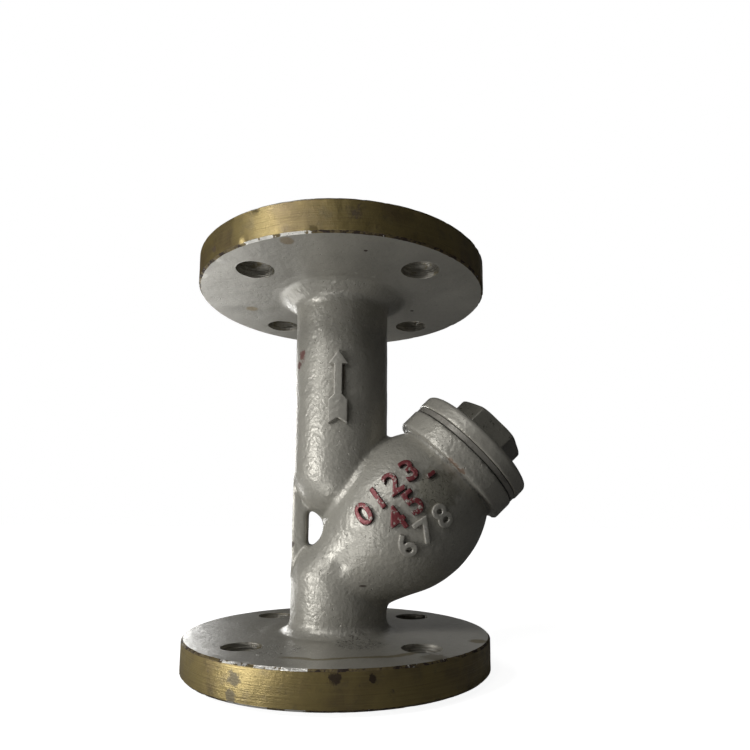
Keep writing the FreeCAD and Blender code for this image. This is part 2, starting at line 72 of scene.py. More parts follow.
mounts = {mount["name"]: mount for mount in frame["record"]["mounts"]}
bolts = mounts["inlet_bolts"]["dims"]
bolt_circle = bolts["pcd_mm"] / 2 * MM
bolt_radius = bolts["hole_r_mm"] * MM
face_height = mounts["inlet_bolts"]["pos_m"][2]

joints = {joint["name"]: joint for joint in frame["joints"]}
branch_axis = Vector(joints["cover_turn"]["axis"]).normalized()
branch_foot = Vector(joints["cover_turn"]["pos_m"])

flange_back = 14 * MM
face_radius = 32.5 * MM
bore_radius = 12.5 * MM
pipe_radius = 18.6 * MM
pipe_start = 74.5 * MM
bulb_radius = 29.2 * MM
bulb_curve = 40 * MM
bulb_centre = 37.3 * MM
bulb_wall = 5.5 * MM
collar_radius = 26 * MM
collar_start = 60.4 * MM
collar_end = 68.5 * MM
thread_radius = 20 * MM
seat_start = 12 * MM
screen_room = 16.2 * MM
neck_reach = 34 * MM

across = Vector((0, 1, 0)).cross(branch_axis).normalized()
lean = Matrix.Translation(branch_foot) @ Matrix((
    (across.x, 0, branch_axis.x),
    (across.y, 1, branch_axis.y),
    (across.z, 0, branch_axis.z),
)).to_4x4()
print("flange radius", round(flange_radius / MM, 2), "mm, length", round(length / MM, 2))
print("branch axis", tuple(round(value, 3) for value in branch_axis))

# %% [markdown]
# ## Arithmetic in node trees
# Node trees get hard to read when they hold much arithmetic. This small class
# wraps a socket, so that `a + b * 2` adds the Math nodes by itself. It serves
# the Geometry Nodes trees and the shader trees alike, and so does `add_node`,
# whose inputs take a field, a socket or a plain value.

# %% Nodes with their inputs
def feed(tree, socket, value):
    """Link a field or a socket to an input, or set a plain value on it."""
    if isinstance(value, Field):
        value = value.socket
    if isinstance(value, bpy.types.NodeSocket):
        tree.links.new(value, socket)
    else:
        socket.default_value = value


def add_node(tree, kind, inputs=(), **settings):
    """Node with its settings, and with what goes into its inputs."""
    node = tree.nodes.new(kind)
    for title, value in settings.items():
        setattr(node, title, value)
    for title, value in dict(inputs).items():
        feed(tree, node.inputs[title], value)
    return node


# %% A socket that can be calculated with
class Field:
    def __init__(self, tree, socket):
        self.tree = tree
        self.socket = socket

    def math(self, operation, *others):
        inputs = enumerate((self,) + others)
        node = add_node(self.tree, "ShaderNodeMath", inputs, operation=operation)
        return Field(self.tree, node.outputs[0])

    def __add__(self, other):
        return self.math("ADD", other)

    def __sub__(self, other):
        return self.math("SUBTRACT", other)

    def __mul__(self, other):
        return self.math("MULTIPLY", other)

    def __truediv__(self, other):
        return self.math("DIVIDE", other)

    def __neg__(self):
        return self * -1.0

    def least(self, other):
        return self.math("MINIMUM", other)

    def most(self, other):
        return self.math("MAXIMUM", other)

    def size(self):
        return self.math("ABSOLUTE")

    def root(self):
        return self.math("SQRT")


def span(*fields):
    """Length of the vector that these fields are the parts of."""
    total = fields[0] * fields[0]
    for field in fields[1:]:
        total = total + field * field
    return total.root()


def split_vector(tree, socket):
    parts = add_node(tree, "ShaderNodeSeparateXYZ", {0: socket})
    return [Field(tree, output) for output in parts.outputs]


def combine(tree, x, y, z):
    return add_node(tree, "ShaderNodeCombineXYZ", {0: x, 1: y, 2: z}).outputs[0]


def point_place(tree):
    """Position of the points that a geometry tree works on."""
    return add_node(tree, "GeometryNodeInputPosition").outputs[0]


# %% Noise, steps and fillets
def noise_field(tree, vector, scale, detail=3.0, roughness=0.55):
    inputs = {"Vector": vector, "Scale": scale, "Detail": detail, "Roughness": roughness}
    return Field(tree, add_node(tree, "ShaderNodeTexNoise", inputs).outputs["Fac"])


def stepped(field, low, high):
    """Smooth 0 to 1 step of a field between two values."""
    inputs = {"Value": field, "From Min": low, "From Max": high}
    node = add_node(field.tree, "ShaderNodeMapRange", inputs, interpolation_type="SMOOTHSTEP")
    return Field(field.tree, node.outputs["Result"])


def filleted(first, second, radius):
    """Union of two distance fields with a fillet of that radius."""
    inner = span((-(first - radius)).most(0.0), (-(second - radius)).most(0.0))
    return first.least(second).most(radius) - inner


def rounded_cut(first, second, radius):
    """Where both fields hold, with its edge rounded to that radius."""
    outer = span((first + radius).most(0.0), (second + radius).most(0.0))
    return first.most(second).least(-radius) + outer


# %% [markdown]
# ## Geometry Nodes trees that make a mesh
# Each tree has named inputs for its sizes. The value of an input is set on the
# modifier by the socket's identifier before the object is first evaluated.
# `baked` turns the result into a plain mesh, so nothing live is left.

# %% Helpers for trees and baking
def new_tree(name, sizes):
    """Geometry tree with one float input for each size."""
    tree = bpy.data.node_groups.new(name, "GeometryNodeTree")
    tree.interface.new_socket("Geometry", in_out="OUTPUT", socket_type="NodeSocketGeometry")
    for size in sizes:
        tree.interface.new_socket(size, in_out="INPUT", socket_type="NodeSocketFloat")
    entry = tree.nodes.new("NodeGroupInput")
    return tree, {size: Field(tree, entry.outputs[size]) for size in sizes}


def finish_tree(tree, socket, material):
    """End a tree in Realize Instances and Set Material."""
    realize = add_node(tree, "GeometryNodeRealizeInstances", {0: socket})
    paint = add_node(tree, "GeometryNodeSetMaterial", {0: realize.outputs[0], "Material": material})
    add_node(tree, "NodeGroupOutput", {0: paint.outputs[0]})
    return tree


def surface_tree(tree, body, low, high, cell, material):
    """End a tree in the surface where a distance field is 0, inside a box."""
    inputs = {"Density": -body, "Background": -5 * MM, "Min": low, "Max": high}
    for axis, start, end in zip("XYZ", low, high):
        inputs["Resolution " + axis] = int((end - start) / cell)
    volume = add_node(tree, "GeometryNodeVolumeCube", inputs)
    surface = add_node(tree, "GeometryNodeVolumeToMesh", {0: volume.outputs[0], "Threshold": 0.0})
    return finish_tree(tree, surface.outputs[0], material)


# %% Objects from trees and meshes
def add_object(name, data):
    thing = bpy.data.objects.new(name, data)
    bpy.context.scene.collection.objects.link(thing)
    return thing


def mesh_object(name, shape, materials=()):
    """Object from a bmesh, which is freed."""
    mesh = bpy.data.meshes.new(name)
    shape.to_mesh(mesh)
    shape.free()
    for material in materials:
        mesh.materials.append(material)
    return add_object(name, mesh)


def wear(thing, material):
    """Give a thing that one material."""
    thing.data.materials.clear()
    thing.data.materials.append(material)


def plain_copy(thing, name):
    """Evaluate an object's modifiers into a new object's plain mesh."""
    graph = bpy.context.evaluated_depsgraph_get()
    mesh = bpy.data.meshes.new_from_object(thing.evaluated_get(graph))
    mesh.name = name
    bpy.data.objects.remove(thing)
    return add_object(name, mesh)


def baked(name, tree, sizes):
    seed = add_object(name + "_seed", bpy.data.meshes.new(name + "_seed"))
    nodes = seed.modifiers.new("shape", "NODES")
    nodes.node_group = tree
    for item in tree.interface.items_tree:
        if item.in_out == "INPUT":
            nodes[item.identifier] = sizes[item.name]
    return plain_copy(seed, name)


def combined(thing, steps):
    """Join to or cut from a closed mesh with other closed meshes."""
    name = thing.name
    for tool, operation in steps:
        step = thing.modifiers.new(operation.lower(), "BOOLEAN")
        step.object = tool
        step.operation = operation
        step.solver = "MANIFOLD"
        step.material_mode = "TRANSFER"
    result = plain_copy(thing, name)
    for tool, _ in steps:
        bpy.data.objects.remove(tool)
    return result


def report(thing):
    triangles = sum(len(face.vertices) - 2 for face in thing.data.polygons)
    print(f"{thing.name}: {triangles} triangles")


# %% [markdown]
# ## Shared effects of the materials
# Paint on a casting is never even: the sand's grain shows through it, it wears
# at edges, dirt stays in places, and the hollow places are darkened with dirt
# and painted shade. Each such effect is one shader group that puts out a mask
# or a height, placed with its own values in each material.

# %% Shader group helpers
def shader_group(name, inputs, outputs):
    """Empty group with its inputs as fields; its results are fed later."""
    tree = bpy.data.node_groups.new(name, "ShaderNodeTree")
    for title, value in inputs.items():
        kind = "NodeSocketVector" if isinstance(value, tuple) else "NodeSocketFloat"
        socket = tree.interface.new_socket(title, in_out="INPUT", socket_type=kind)
        socket.default_value = value
    for title in outputs:
        tree.interface.new_socket(title, in_out="OUTPUT", socket_type="NodeSocketFloat")
    entry = tree.nodes.new("NodeGroupInput")
    return tree, {title: Field(tree, entry.outputs[title]) for title in inputs}


def put_out(tree, results):
    add_node(tree, "NodeGroupOutput", results)
    return tree


def object_coordinates(tree):
    return tree.nodes.new("ShaderNodeTexCoord").outputs["Object"]


# %% Cast grain, patch, speckle, and edge wear and hollow shade groups
def make_cast_grain():
    """Height of sand grain: lumps, finer orange peel and sparse pits."""
    tree, share = shader_group("cast_grain", {"Lumps": 1.0, "Grain": 1.0, "Pits": 1.0}, ["Height"])
    place = object_coordinates(tree)
    lumps = noise_field(tree, place, 260.0, 2.0) - 0.5
    grain = noise_field(tree, place, 720.0, 3.0, 0.5) - 0.5
    pits = stepped(noise_field(tree, place, 900.0, 1.0), 0.30, 0.22)
    height = lumps * share["Lumps"] + grain * share["Grain"] * 0.6 - pits * share["Pits"] * 0.6
    return put_out(tree, {"Height": height})


def make_patch():
    """Mask of a ragged patch round a centre on the surface."""
    inputs = {"Centre": (0.0, 0.0, 0.0), "Radius": 0.004, "Raggedness": 0.5}
    tree, patch = shader_group("patch", inputs, ["Mask"])
    place = object_coordinates(tree)
    away = add_node(tree, "ShaderNodeVectorMath", {0: place, 1: patch["Centre"]}, operation="DISTANCE")
    ragged = (noise_field(tree, place, 380.0, 6.0, 0.72) - 0.5) * patch["Raggedness"] * 2.0
    reach = Field(tree, away.outputs["Value"]) / patch["Radius"] + ragged
    return put_out(tree, {"Mask": -stepped(reach, 0.65, 1.1) + 1.0})


def make_speckle():
    """Mask of small scattered specks."""
    tree, speck = shader_group("speckle", {"Scale": 1500.0, "Amount": 0.3}, ["Mask"])
    specks = noise_field(tree, object_coordinates(tree), speck["Scale"], 3.0, 0.7)
    edge = -speck["Amount"] * 0.35 + 0.72
    return put_out(tree, {"Mask": stepped(specks, edge, edge + 0.05)})


def make_wear_and_hollow_shade():
    """Mask of worn outer edges, and one of dirt and painted shade in hollow places, from the curvature."""
    tree, wear_of = shader_group("wear_and_hollow_shade", {"Sharpness": 1.0}, ["Edges", "Hollows"])
    shape = tree.nodes.new("ShaderNodeNewGeometry")
    bend = Field(tree, shape.outputs["Pointiness"]) - 0.5
    ragged = noise_field(tree, object_coordinates(tree), 900.0, 4.0, 0.65) - 0.5
    bent = bend * wear_of["Sharpness"] + ragged * 0.03
    # The second mask darkens concave places: partly dirt, partly painted shade.
    return put_out(tree, {"Edges": stepped(bent, 0.035, 0.075), "Hollows": stepped(-bent, 0.02, 0.07)})


cast_grain = make_cast_grain()
patch_group = make_patch()
speckle_group = make_speckle()
wear_and_hollow_shade = make_wear_and_hollow_shade()
print("shader groups:", [group.name for group in (cast_grain, patch_group, speckle_group, wear_and_hollow_shade)])

# %% Material builder
class Finish:
    """One material: a base colour that layers are painted over."""

    def __init__(self, name, colour, roughness, metallic):
        self.material = bpy.data.materials.new(name)
        self.material.use_nodes = True
        self.material.diffuse_color = (*colour, 1)
        self.tree = self.material.node_tree
        self.shader = self.tree.nodes["Principled BSDF"]
        self.shader.inputs["Metallic"].default_value = metallic
        self.place = object_coordinates(self.tree)
        base = self.tree.nodes.new("ShaderNodeRGB")
        base.outputs[0].default_value = (*colour, 1)
        self.colour = base.outputs[0]
        self.roughness = noise_field(self.tree, self.place, 350.0) * 0.16 + (roughness - 0.08)

    def group(self, tree, output, **values):
        node = add_node(self.tree, "ShaderNodeGroup", values, node_tree=tree)
        return Field(self.tree, node.outputs[output])

    def patch(self, centre, radius, ragged):
        """Mask of a ragged patch, with its centre and radius in millimetres."""
        centre = tuple(value * MM for value in centre)
        return self.group(patch_group, "Mask", Centre=centre, Radius=radius * MM, Raggedness=ragged)

    def grain(self, lumps, grain, pits):
        return self.group(cast_grain, "Height", Lumps=lumps, Grain=grain, Pits=pits)

    def noise(self, scale, detail=3.0, roughness=0.55, stretch=None):
        vector = self.place
        if stretch:
            inputs = {"Vector": vector, "Scale": stretch}
            vector = add_node(self.tree, "ShaderNodeMapping", inputs).outputs["Vector"]
        return noise_field(self.tree, vector, scale, detail, roughness)

    def layer(self, mask, colour, roughness=None):
        """Paint a colour, and its roughness, where the mask is 1."""
        inputs = {"Factor": mask, 6: self.colour, 7: (*colour, 1)}
        self.colour = add_node(self.tree, "ShaderNodeMix", inputs, data_type="RGBA").outputs[2]
        if roughness is not None:
            self.roughness = self.roughness + (-self.roughness + roughness) * mask

    def mottle(self, grain, low, high, strength, colour, roughness=None):
        """Layer where noise of a (scale, detail, roughness) passes a step."""
        self.layer(stepped(self.noise(*grain), low, high) * strength, colour, roughness)

    def finished(self, height, distance):
        """Connect colour, roughness and the height of the bump."""
        inputs = {"Height": height, "Distance": distance, "Strength": 1.0}
        bump = add_node(self.tree, "ShaderNodeBump", inputs)
        feed(self.tree, self.shader.inputs["Base Color"], self.colour)
        feed(self.tree, self.shader.inputs["Roughness"], self.roughness)
        feed(self.tree, self.shader.inputs["Normal"], bump.outputs["Normal"])
        return self.material


# %% [markdown]
# ## The paint finishes
# The casting has a coat of silver-grey paint with some metal flake, so it is
# partly metallic. Its hollow places are darkened with dirt and painted shade.
# It's speckled with bare spots by the raised marks, and stained where the olive
# primer of the rims ran over.

# %% Silver-grey paint
def on_bulb(along, turn, radius):
    """Place on the chamber: along the branch, turned from the front."""
    out = Vector((math.sin(turn) * radius, -math.cos(turn) * radius, along))
    return lean @ out


def silver_paint(name, base, dark_wear):
    finish = Finish(name, base, 0.37, 0.3)
    finish.mottle((45.0, 4.0, 0.6), 0.52, 0.75, 0.45, (0.26, 0.25, 0.22))
    finish.mottle((420.0, 5.0, 0.65), 0.56, 0.72, 0.35, (0.21, 0.20, 0.18))
    specks = finish.group(speckle_group, "Mask", Scale=1900.0, Amount=0.18)
    finish.layer(specks * 0.7, (0.07, 0.065, 0.06), 0.6)
    # Hollow places darkened: partly dirt, partly painted shade.
    hollow_dirt_and_shade = finish.group(wear_and_hollow_shade, "Hollows", Sharpness=1.0)
    finish.layer(hollow_dirt_and_shade * 0.75, (0.10, 0.095, 0.085), 0.6)
    edges = finish.group(wear_and_hollow_shade, "Edges", Sharpness=1.0)
    finish.layer(edges * 0.6, dark_wear, 0.35)
    return finish


OLIVE = (0.28, 0.215, 0.085)
OLIVE_STAIN = (0.16, 0.125, 0.05)
RUST = (0.15, 0.07, 0.03)
BROWN = (0.045, 0.03, 0.022)
FLANGE_TOP = 14
FLANGE_UNDERSIDE = 146
STAINS = [
    # (centre and radius in millimetres, raggedness, colour, strength, roughness)
    ((-39.9, 8.2, FLANGE_UNDERSIDE), 2.9, 0.15, (0.26, 0.20, 0.10), 0.85, 0.45),
    ((-15.0, -51.7, FLANGE_UNDERSIDE), 2.7, 0.25, (0.24, 0.18, 0.10), 0.85, 0.45),
    ((10.6, -44.9, FLANGE_UNDERSIDE), 0.8, 0.6, BROWN, 1.0, 0.6),
    ((29.4, 9.9, FLANGE_UNDERSIDE), 0.9, 0.6, BROWN, 1.0, 0.6),
    ((50.6, -18.6, FLANGE_TOP), 3.4, 0.5, OLIVE_STAIN, 0.8, 0.5),
    ((-14.9, -11.3, 119.4), 2.2, 1.6, (0.13, 0.022, 0.018), 0.8, 0.55),
    ((-16.2, -9.2, 116.0), 1.7, 1.6, (0.10, 0.022, 0.018), 0.8, 0.55),
    ((-18.4, -4.2, 46.5), 1.3, 1.2, BROWN, 0.8, 0.6),
    ((33.0, -43.0, FLANGE_TOP), 4.5, 1.4, (0.13, 0.105, 0.05), 0.6, 0.5),
]
BLOWHOLES = [
    # (centre and radius in millimetres, fill, scale of the pits, colour)
    (on_bulb(50 * MM, 0.05, 28 * MM) / MM, 7.5, 0.08, 1300.0, (0.10, 0.095, 0.065)),
    ((-17, -34, FLANGE_TOP), 9, 0.08, 620.0, BROWN),
    ((9, -25, FLANGE_TOP), 9, 0.14, 1000.0, (0.13, 0.12, 0.10)),
]


def pitted(finish, centre, radius, fill, scale, colour):
    """Small dark pits scattered inside a patch."""
    spots = stepped(finish.noise(scale, 4.0, 0.7), 0.66 - fill, 0.72 - fill)
    mask = finish.patch(centre, radius, 0.6) * spots
    finish.layer(mask, colour, 0.6)
    return mask


def inside(distance, near, far):
    """Mask that is 1 up to a near distance and fades to 0 at a far one."""
    return -stepped(distance, near, far) + 1.0


# %% Streaks, stains and painted shade of the casting
def line_marks(finish):
    """Primer along the lower flange, painted shade of a slit on the neck, and dirt with painted shade beside the
    arrow.
    """
    x, y, z = split_vector(finish.tree, finish.place)
    bolt_ring = 46 * MM
    wander = (finish.noise(60.0, 4.0) - 0.5) * 9 * MM
    run = inside((span(x, y) - bolt_ring + wander).size(), 0.9 * MM, 1.7 * MM)
    run = run * stepped(-y, 30 * MM, 36 * MM) * stepped(-z, -20 * MM, -16 * MM)
    run = run * stepped(x, -17 * MM, -12 * MM)
    finish.layer(run * 0.75, OLIVE_STAIN, 0.5)
    front = stepped(-y, 10 * MM, 12 * MM)
    # Painted shade: a thin dark line stands for the shaded inside of a slit.
    slit_shade = span((x - 9.8 * MM) * 0.3, z - 32.5 * MM) + (finish.noise(500.0) - 0.5) * 0.3 * MM
    finish.layer(inside(slit_shade, 0.25 * MM, 0.5 * MM) * front * 0.85, BROWN, 0.6)
    # Dirt and painted shade: a dark band beside the arrow's shaft.
    arrow_shade_and_dirt = span(x - 1.9 * MM, (z - 109 * MM) * 0.13) + (finish.noise(700.0) - 0.5) * 1.0 * MM
    finish.layer(inside(arrow_shade_and_dirt, 0.5 * MM, 1.1 * MM) * front * 0.75, (0.085, 0.06, 0.04), 0.6)


def casting_paint():
    finish = silver_paint("silver_casting", (0.36, 0.345, 0.30), (0.50, 0.49, 0.44))
    worn = finish.patch(BLOWHOLES[0][0], 9.5, 0.9)
    finish.layer(worn * 0.55, (0.15, 0.14, 0.095), 0.55)
    pits = pitted(finish, *BLOWHOLES[0])
    for blowholes in BLOWHOLES[1:]:
        pits = pits.most(pitted(finish, *blowholes))
    for turn in (-0.10, 0.0, 0.10):
        rust = finish.patch(on_bulb(60.0 * MM, turn, 25 * MM) / MM, 1.9, 1.1)
        finish.layer(rust * 0.65, RUST, 0.8)
    for centre, radius, ragged, colour, strength, roughness in STAINS:
        finish.layer(finish.patch(centre, radius, ragged) * strength, colour, roughness)
    line_marks(finish)
    # Sand shows less on the backs of the flanges, which were brushed.
    z = split_vector(finish.tree, finish.place)[2]
    half = length / 2
    backs = stepped((z - half).size(), half - flange_back - 1.2 * MM, half - flange_back - 0.4 * MM)
    grain = finish.grain(0.8, 1.0, 0.8)
    return finish.finished(grain * (backs * -0.6 + 1.0) - pits * 0.8, 0.00036)


# %% Olive rim and its worn edge
RIM_STAINS = [
    # (centre and radius in millimetres, raggedness, colour, strength)
    ((-27.2, -50.7, 9.2), 2.6, 1.3, (0.12, 0.105, 0.075), 0.8),
    ((-28.0, -50.2, 4.2), 2.1, 1.3, (0.12, 0.105, 0.075), 0.8),
    ((3.3, -57.4, 11.4), 2.0, 1.6, BROWN, 0.9),
    ((13.7, -55.8, 11.2), 1.3, 1.6, BROWN, 0.9),
]


def rim_paint():
    """Olive primer brushed round the turned rims."""
    finish = Finish("olive_rim", OLIVE, 0.38, 0.65)
    finish.mottle((38.0, 3.0, 0.6), 0.48, 0.64, 0.6, (0.14, 0.10, 0.06))
    finish.mottle((160.0, 5.0, 0.65), 0.52, 0.68, 0.45, (0.15, 0.12, 0.075))
    streaks = finish.noise(1.0, 4.0, 0.6, stretch=(55.0, 55.0, 2400.0))
    finish.layer(stepped(streaks, 0.50, 0.68) * 0.35, (0.33, 0.27, 0.12))
    finish.layer(stepped(streaks, 0.46, 0.30) * 0.35, (0.12, 0.085, 0.04))
    finish.mottle((95.0, 5.0, 0.7), 0.63, 0.70, 0.7, (0.10, 0.075, 0.06), 0.6)
    for centre, radius, ragged, colour, strength in RIM_STAINS:
        finish.layer(finish.patch(centre, radius, ragged) * strength, colour, 0.6)
    z = split_vector(finish.tree, finish.place)[2]
    half = length / 2
    rim_middle = half - flange_back / 2 - face_height / 2
    from_edge = ((z - half).size() - rim_middle).size()
    chips = finish.noise(520.0, 5.0, 0.7) * 2.0 * MM + 4.3 * MM
    edge = stepped(from_edge - chips, -0.2 * MM, 0.3 * MM)
    finish.layer(edge * 0.85, (0.075, 0.055, 0.04), 0.6)
    height = streaks * 0.6 + finish.noise(800.0, 4.0, 0.6) * 0.6
    return finish.finished(height, 0.00016)


def worn_edge():
    """Broken edge of a rim: primer and rust, with bright knocked stretches, more of them on the lit front left as
    painted highlight.
    """
    finish = Finish("worn_edge", (0.17, 0.13, 0.06), 0.45, 0.45)
    finish.mottle((300.0, 5.0, 0.7), 0.48, 0.56, 1.0, BROWN, 0.6)
    x, y, _ = split_vector(finish.tree, finish.place)
    # Painted highlight: bright bare metal is made more likely on the lit front left.
    left = stepped(x, -34 * MM, -28 * MM) * stepped(-x, 2 * MM, 8 * MM) * stepped(-y, 0.0, 20 * MM)
    knocked_and_glints = finish.noise(150.0, 5.0, 0.72) + left * 0.15
    finish.layer(stepped(knocked_and_glints, 0.61, 0.64), (0.80, 0.78, 0.72), 0.28)
    finish.mottle((900.0, 4.0, 0.7), 0.60, 0.66, 1.0, BROWN, 0.6)
    return finish.finished(finish.noise(700.0, 4.0, 0.6), 0.0005)


# %% Turned face, bare bore and drilled hole
TOOL_FEED = 0.6 * MM


def turned_face():
    """Bare turned steel with the tool's rings, dulled by a little rust."""
    finish = Finish("turned_face", (0.46, 0.44, 0.41), 0.36, 0.85)
    finish.mottle((60.0, 5.0, 0.65), 0.55, 0.72, 0.6, (0.20, 0.13, 0.08), 0.6)
    finish.mottle((500.0, 4.0, 0.7), 0.62, 0.72, 0.7, RUST, 0.75)
    x, y, _ = split_vector(finish.tree, finish.place)
    rings = (span(x, y) * (2 * math.pi / TOOL_FEED)).math("SINE")
    return finish.finished(rings * 0.3 + finish.noise(900.0, 4.0, 0.6) * 0.4, 0.00005)


def bare_bore():
    """Rough cast steel inside, dark with a thin coat of primer and rust."""
    finish = Finish("bare_bore", (0.16, 0.15, 0.135), 0.6, 0.45)
    finish.mottle((120.0, 5.0, 0.65), 0.5, 0.7, 0.6, (0.13, 0.08, 0.05), 0.8)
    finish.mottle((700.0, 4.0, 0.7), 0.55, 0.7, 0.5, (0.25, 0.23, 0.2), 0.5)
    return finish.finished(finish.grain(1.2, 1.0, 1.0), 0.0003)


def drilled_hole():
    """Bare steel with the rings that the drill left, and some primer."""
    finish = Finish("drilled_hole", (0.42, 0.40, 0.35), 0.42, 0.7)
    rings = finish.noise(1.0, 4.0, 0.6, stretch=(90.0, 90.0, 2200.0))
    finish.layer(stepped(rings, 0.56, 0.44) * 0.6, (0.16, 0.145, 0.11), 0.5)
    finish.mottle((180.0, 4.0, 0.65), 0.52, 0.64, 0.7, (0.17, 0.14, 0.07), 0.5)
    return finish.finished(rings, 0.0004)


edge_material = worn_edge()
drilled_material = drilled_hole()
casting_material = casting_paint()
rim_material = rim_paint()
face_material = turned_face()
bore_material = bare_bore()
print("paints made")

# %% [markdown]
# ## The casting's skin
# A sand casting has no sharp inner corners: every pair of walls meets in a
# fillet. Bevelling a boolean mesh for that is fragile. Instead the shape is
# written as distance fields, which can be united with a fillet of exactly the
# radius that the pattern maker gave it, and Volume to Mesh draws the surface.
# A little low noise in the field gives the uneven skin of sand.

# %% Sizes of the cast skin
SKIN_SIZES = {
    "Pipe radius": pipe_radius,
    "Pipe start": pipe_start,
    "Bulb radius": bulb_radius,
    "Bulb curve": bulb_curve,
    "Bulb centre": bulb_centre,
    "Collar radius": collar_radius,
    "Hub radius": 21.8 * MM,
    "Web thickness": 9 * MM,
    "Window radius": 6.9 * MM,
    "Unevenness": 0.35 * MM,
}
web_back = -18.3 * MM
web_front = 8 * MM
web_middle = 53.5 * MM
web_half = 21 * MM
window_middle = (-12.9 * MM, 52.65 * MM)
window_back = -12.6 * MM
dent_middle = (0.5 * MM, -22.3 * MM, 40 * MM)
dent_radius = 4.1 * MM
skin_cell = 0.82 * MM

# %% Distance fields of the casting's parts
def flange_skin(wide, z, back, side):
    """Top layer of a flange's back; it dips under the turned disc."""
    dip = stepped(wide, neck_reach - 7 * MM, neck_reach) * 0.5 * MM
    level = (z - back) * side + dip
    return (wide - neck_reach).most(level).most(-(level + 2.5 * MM))


def branch_skin(size, x, y, z, inlet_body):
    """Elbow, barrel-shaped chamber and collar, united with fillets."""
    lift = z - branch_foot.z
    along = x * branch_axis.x + lift * branch_axis.z
    aside = x * across.x + lift * across.z
    around = span(aside, y)
    neck = (span(around, along.least(0.0)) - size["Pipe radius"]).most(along - 20 * MM)
    offset = size["Bulb curve"] - size["Bulb radius"]
    bulb = span(along - size["Bulb centre"], around + offset) - size["Bulb curve"]
    bulb = bulb.most(along - 64 * MM)
    collar_ends = (along - (collar_start + collar_end) / 2).size() - (collar_end - collar_start) / 2
    collar = rounded_cut(around - size["Collar radius"], collar_ends, 0.5 * MM)
    body = filleted(inlet_body.least(neck), bulb, 6 * MM)
    return filleted(body, collar, 1.6 * MM), bulb


def web_skin(size, x, y, z):
    web = (y.size() - size["Web thickness"] / 2).most(-(x - web_back)).most(x - web_front)
    return rounded_cut(web, (z - web_middle).size() - web_half, 2 * MM)


def skin_tree(material):
    tree, size = new_tree("cast_skin", SKIN_SIZES)
    x, y, z = split_vector(tree, point_place(tree))
    wide = span(x, y)
    pipe = span(x, y, (z - size["Pipe start"]).least(0.0)) - size["Pipe radius"]
    inlet = span(x, y, (z - branch_foot.z).most(0.0)) - size["Pipe radius"]
    low_back = flange_skin(wide, z, flange_back, 1.0)
    high_back = flange_skin(wide, z, length - flange_back, -1.0)
    body, bulb = branch_skin(size, x, y, z, filleted(inlet, low_back, 4.5 * MM))
    body = filleted(body, web_skin(size, x, y, z), 1.2 * MM)
    hub_end = (z - length + flange_back).size() - 1.5 * MM
    hub = rounded_cut(wide - size["Hub radius"], hub_end, 1.4 * MM)
    top = filleted(filleted(pipe, hub, 5.5 * MM), high_back, 5.0 * MM)
    seam = (span(pipe - 0.5 * MM, bulb) - 0.8 * MM).most(-(x + 8 * MM))
    body = filleted(body.least(top), seam, 0.6 * MM)
    window = span(x - window_middle[0], z - window_middle[1]) - size["Window radius"]
    window = rounded_cut(window, -(x - window_back), 1.8 * MM)
    body = rounded_cut(body, -window, 1.0 * MM)
    dent = span(x - dent_middle[0], y - dent_middle[1], (z - dent_middle[2]) * 0.8) - dent_radius
    body = rounded_cut(body, -dent, 1.5 * MM)

    place = point_place(tree)
    sand = (noise_field(tree, place, 90.0, 3.0, 0.5) - 0.5) * size["Unevenness"]
    sand = sand + (noise_field(tree, place, 420.0, 2.0, 0.5) - 0.5) * size["Unevenness"] * 0.5
    side = neck_reach + 3 * MM
    low = (-side, -side, flange_back - 4 * MM)
    high = (70 * MM, side, length - flange_back + 4 * MM)
    return surface_tree(tree, body + sand, low, high, skin_cell, material)


casting = baked("strainer_casting", skin_tree(casting_material), SKIN_SIZES)
report(casting)

# %% [markdown]
# ## Turned surfaces
# The flanges, bores and holes are turned or drilled after casting, so they are
# crisp. A lathe outline is a list of (radius, height) points spun into rings.
# The rims get small chips, because a flange is rolled over stone floors.

# %% Lathe
def close_rings(name, shape, rings, materials, faces_of=None):
    """Closed mesh from rings of vertices; a ring of one vertex is a pole."""
    for row, (lower, upper) in enumerate(zip(rings, rings[1:])):
        for index in range(len(lower)):
            following = (index + 1) % len(lower)
            corners = [lower[index], lower[following], upper[following], upper[index]]
            kept = list(dict.fromkeys(corners))
            if len(kept) > 2:
                face = shape.faces.new(kept)
                face.material_index = faces_of[row] if faces_of else 0
    bmesh.ops.recalc_face_normals(shape, faces=shape.faces)
    return mesh_object(name, shape, materials)


def round_place(turn, radius, height):
    return Vector((math.cos(turn) * radius, math.sin(turn) * radius, height))


def lathe(name, outline, materials, segments=128, ragged=0.0, faces_of=None, uneven=0.0):
    """Closed mesh from an outline that starts and ends on the axis.

    Chips as deep as ragged are taken off the outside, and the last rings,
    a flange's cast back, go up and down by uneven.
    """
    rings = []
    shape = bmesh.new()
    outside = max(radius for radius, _ in outline)
    last_outside = max(row for row, point in enumerate(outline) if point[0] == outside)
    for row, (radius, height) in enumerate(outline):
        if radius == 0:
            rings.append([shape.verts.new((0, 0, height))] * segments)
            continue
        ring = []
        for index in range(segments):
            point = round_place(2 * math.pi * index / segments, radius, height)
            if ragged:
                chip = max(0.0, noise.noise(point * 420) - 0.15) + 0.2 * noise.noise(point * 1300)
                pull = 1 - ragged * max(0.0, chip) / radius
                point.x *= pull
                point.y *= pull
            if uneven and row > last_outside + 1:
                point.z += uneven * noise.noise(point * 110)
            ring.append(shape.verts.new(point))
        rings.append(ring)
    return close_rings(name, shape, rings, materials, faces_of)


def serrations(inner, outer, height, depth, pitch):
    """Fine concentric grooves of a turned sealing face."""
    count = int((outer - inner) / pitch)
    points = []
    for index in range(count):
        start = inner + index * pitch
        points.append((start, height))
        points.append((start + pitch / 2, height + depth))
    points.append((inner + count * pitch, height))
    return points


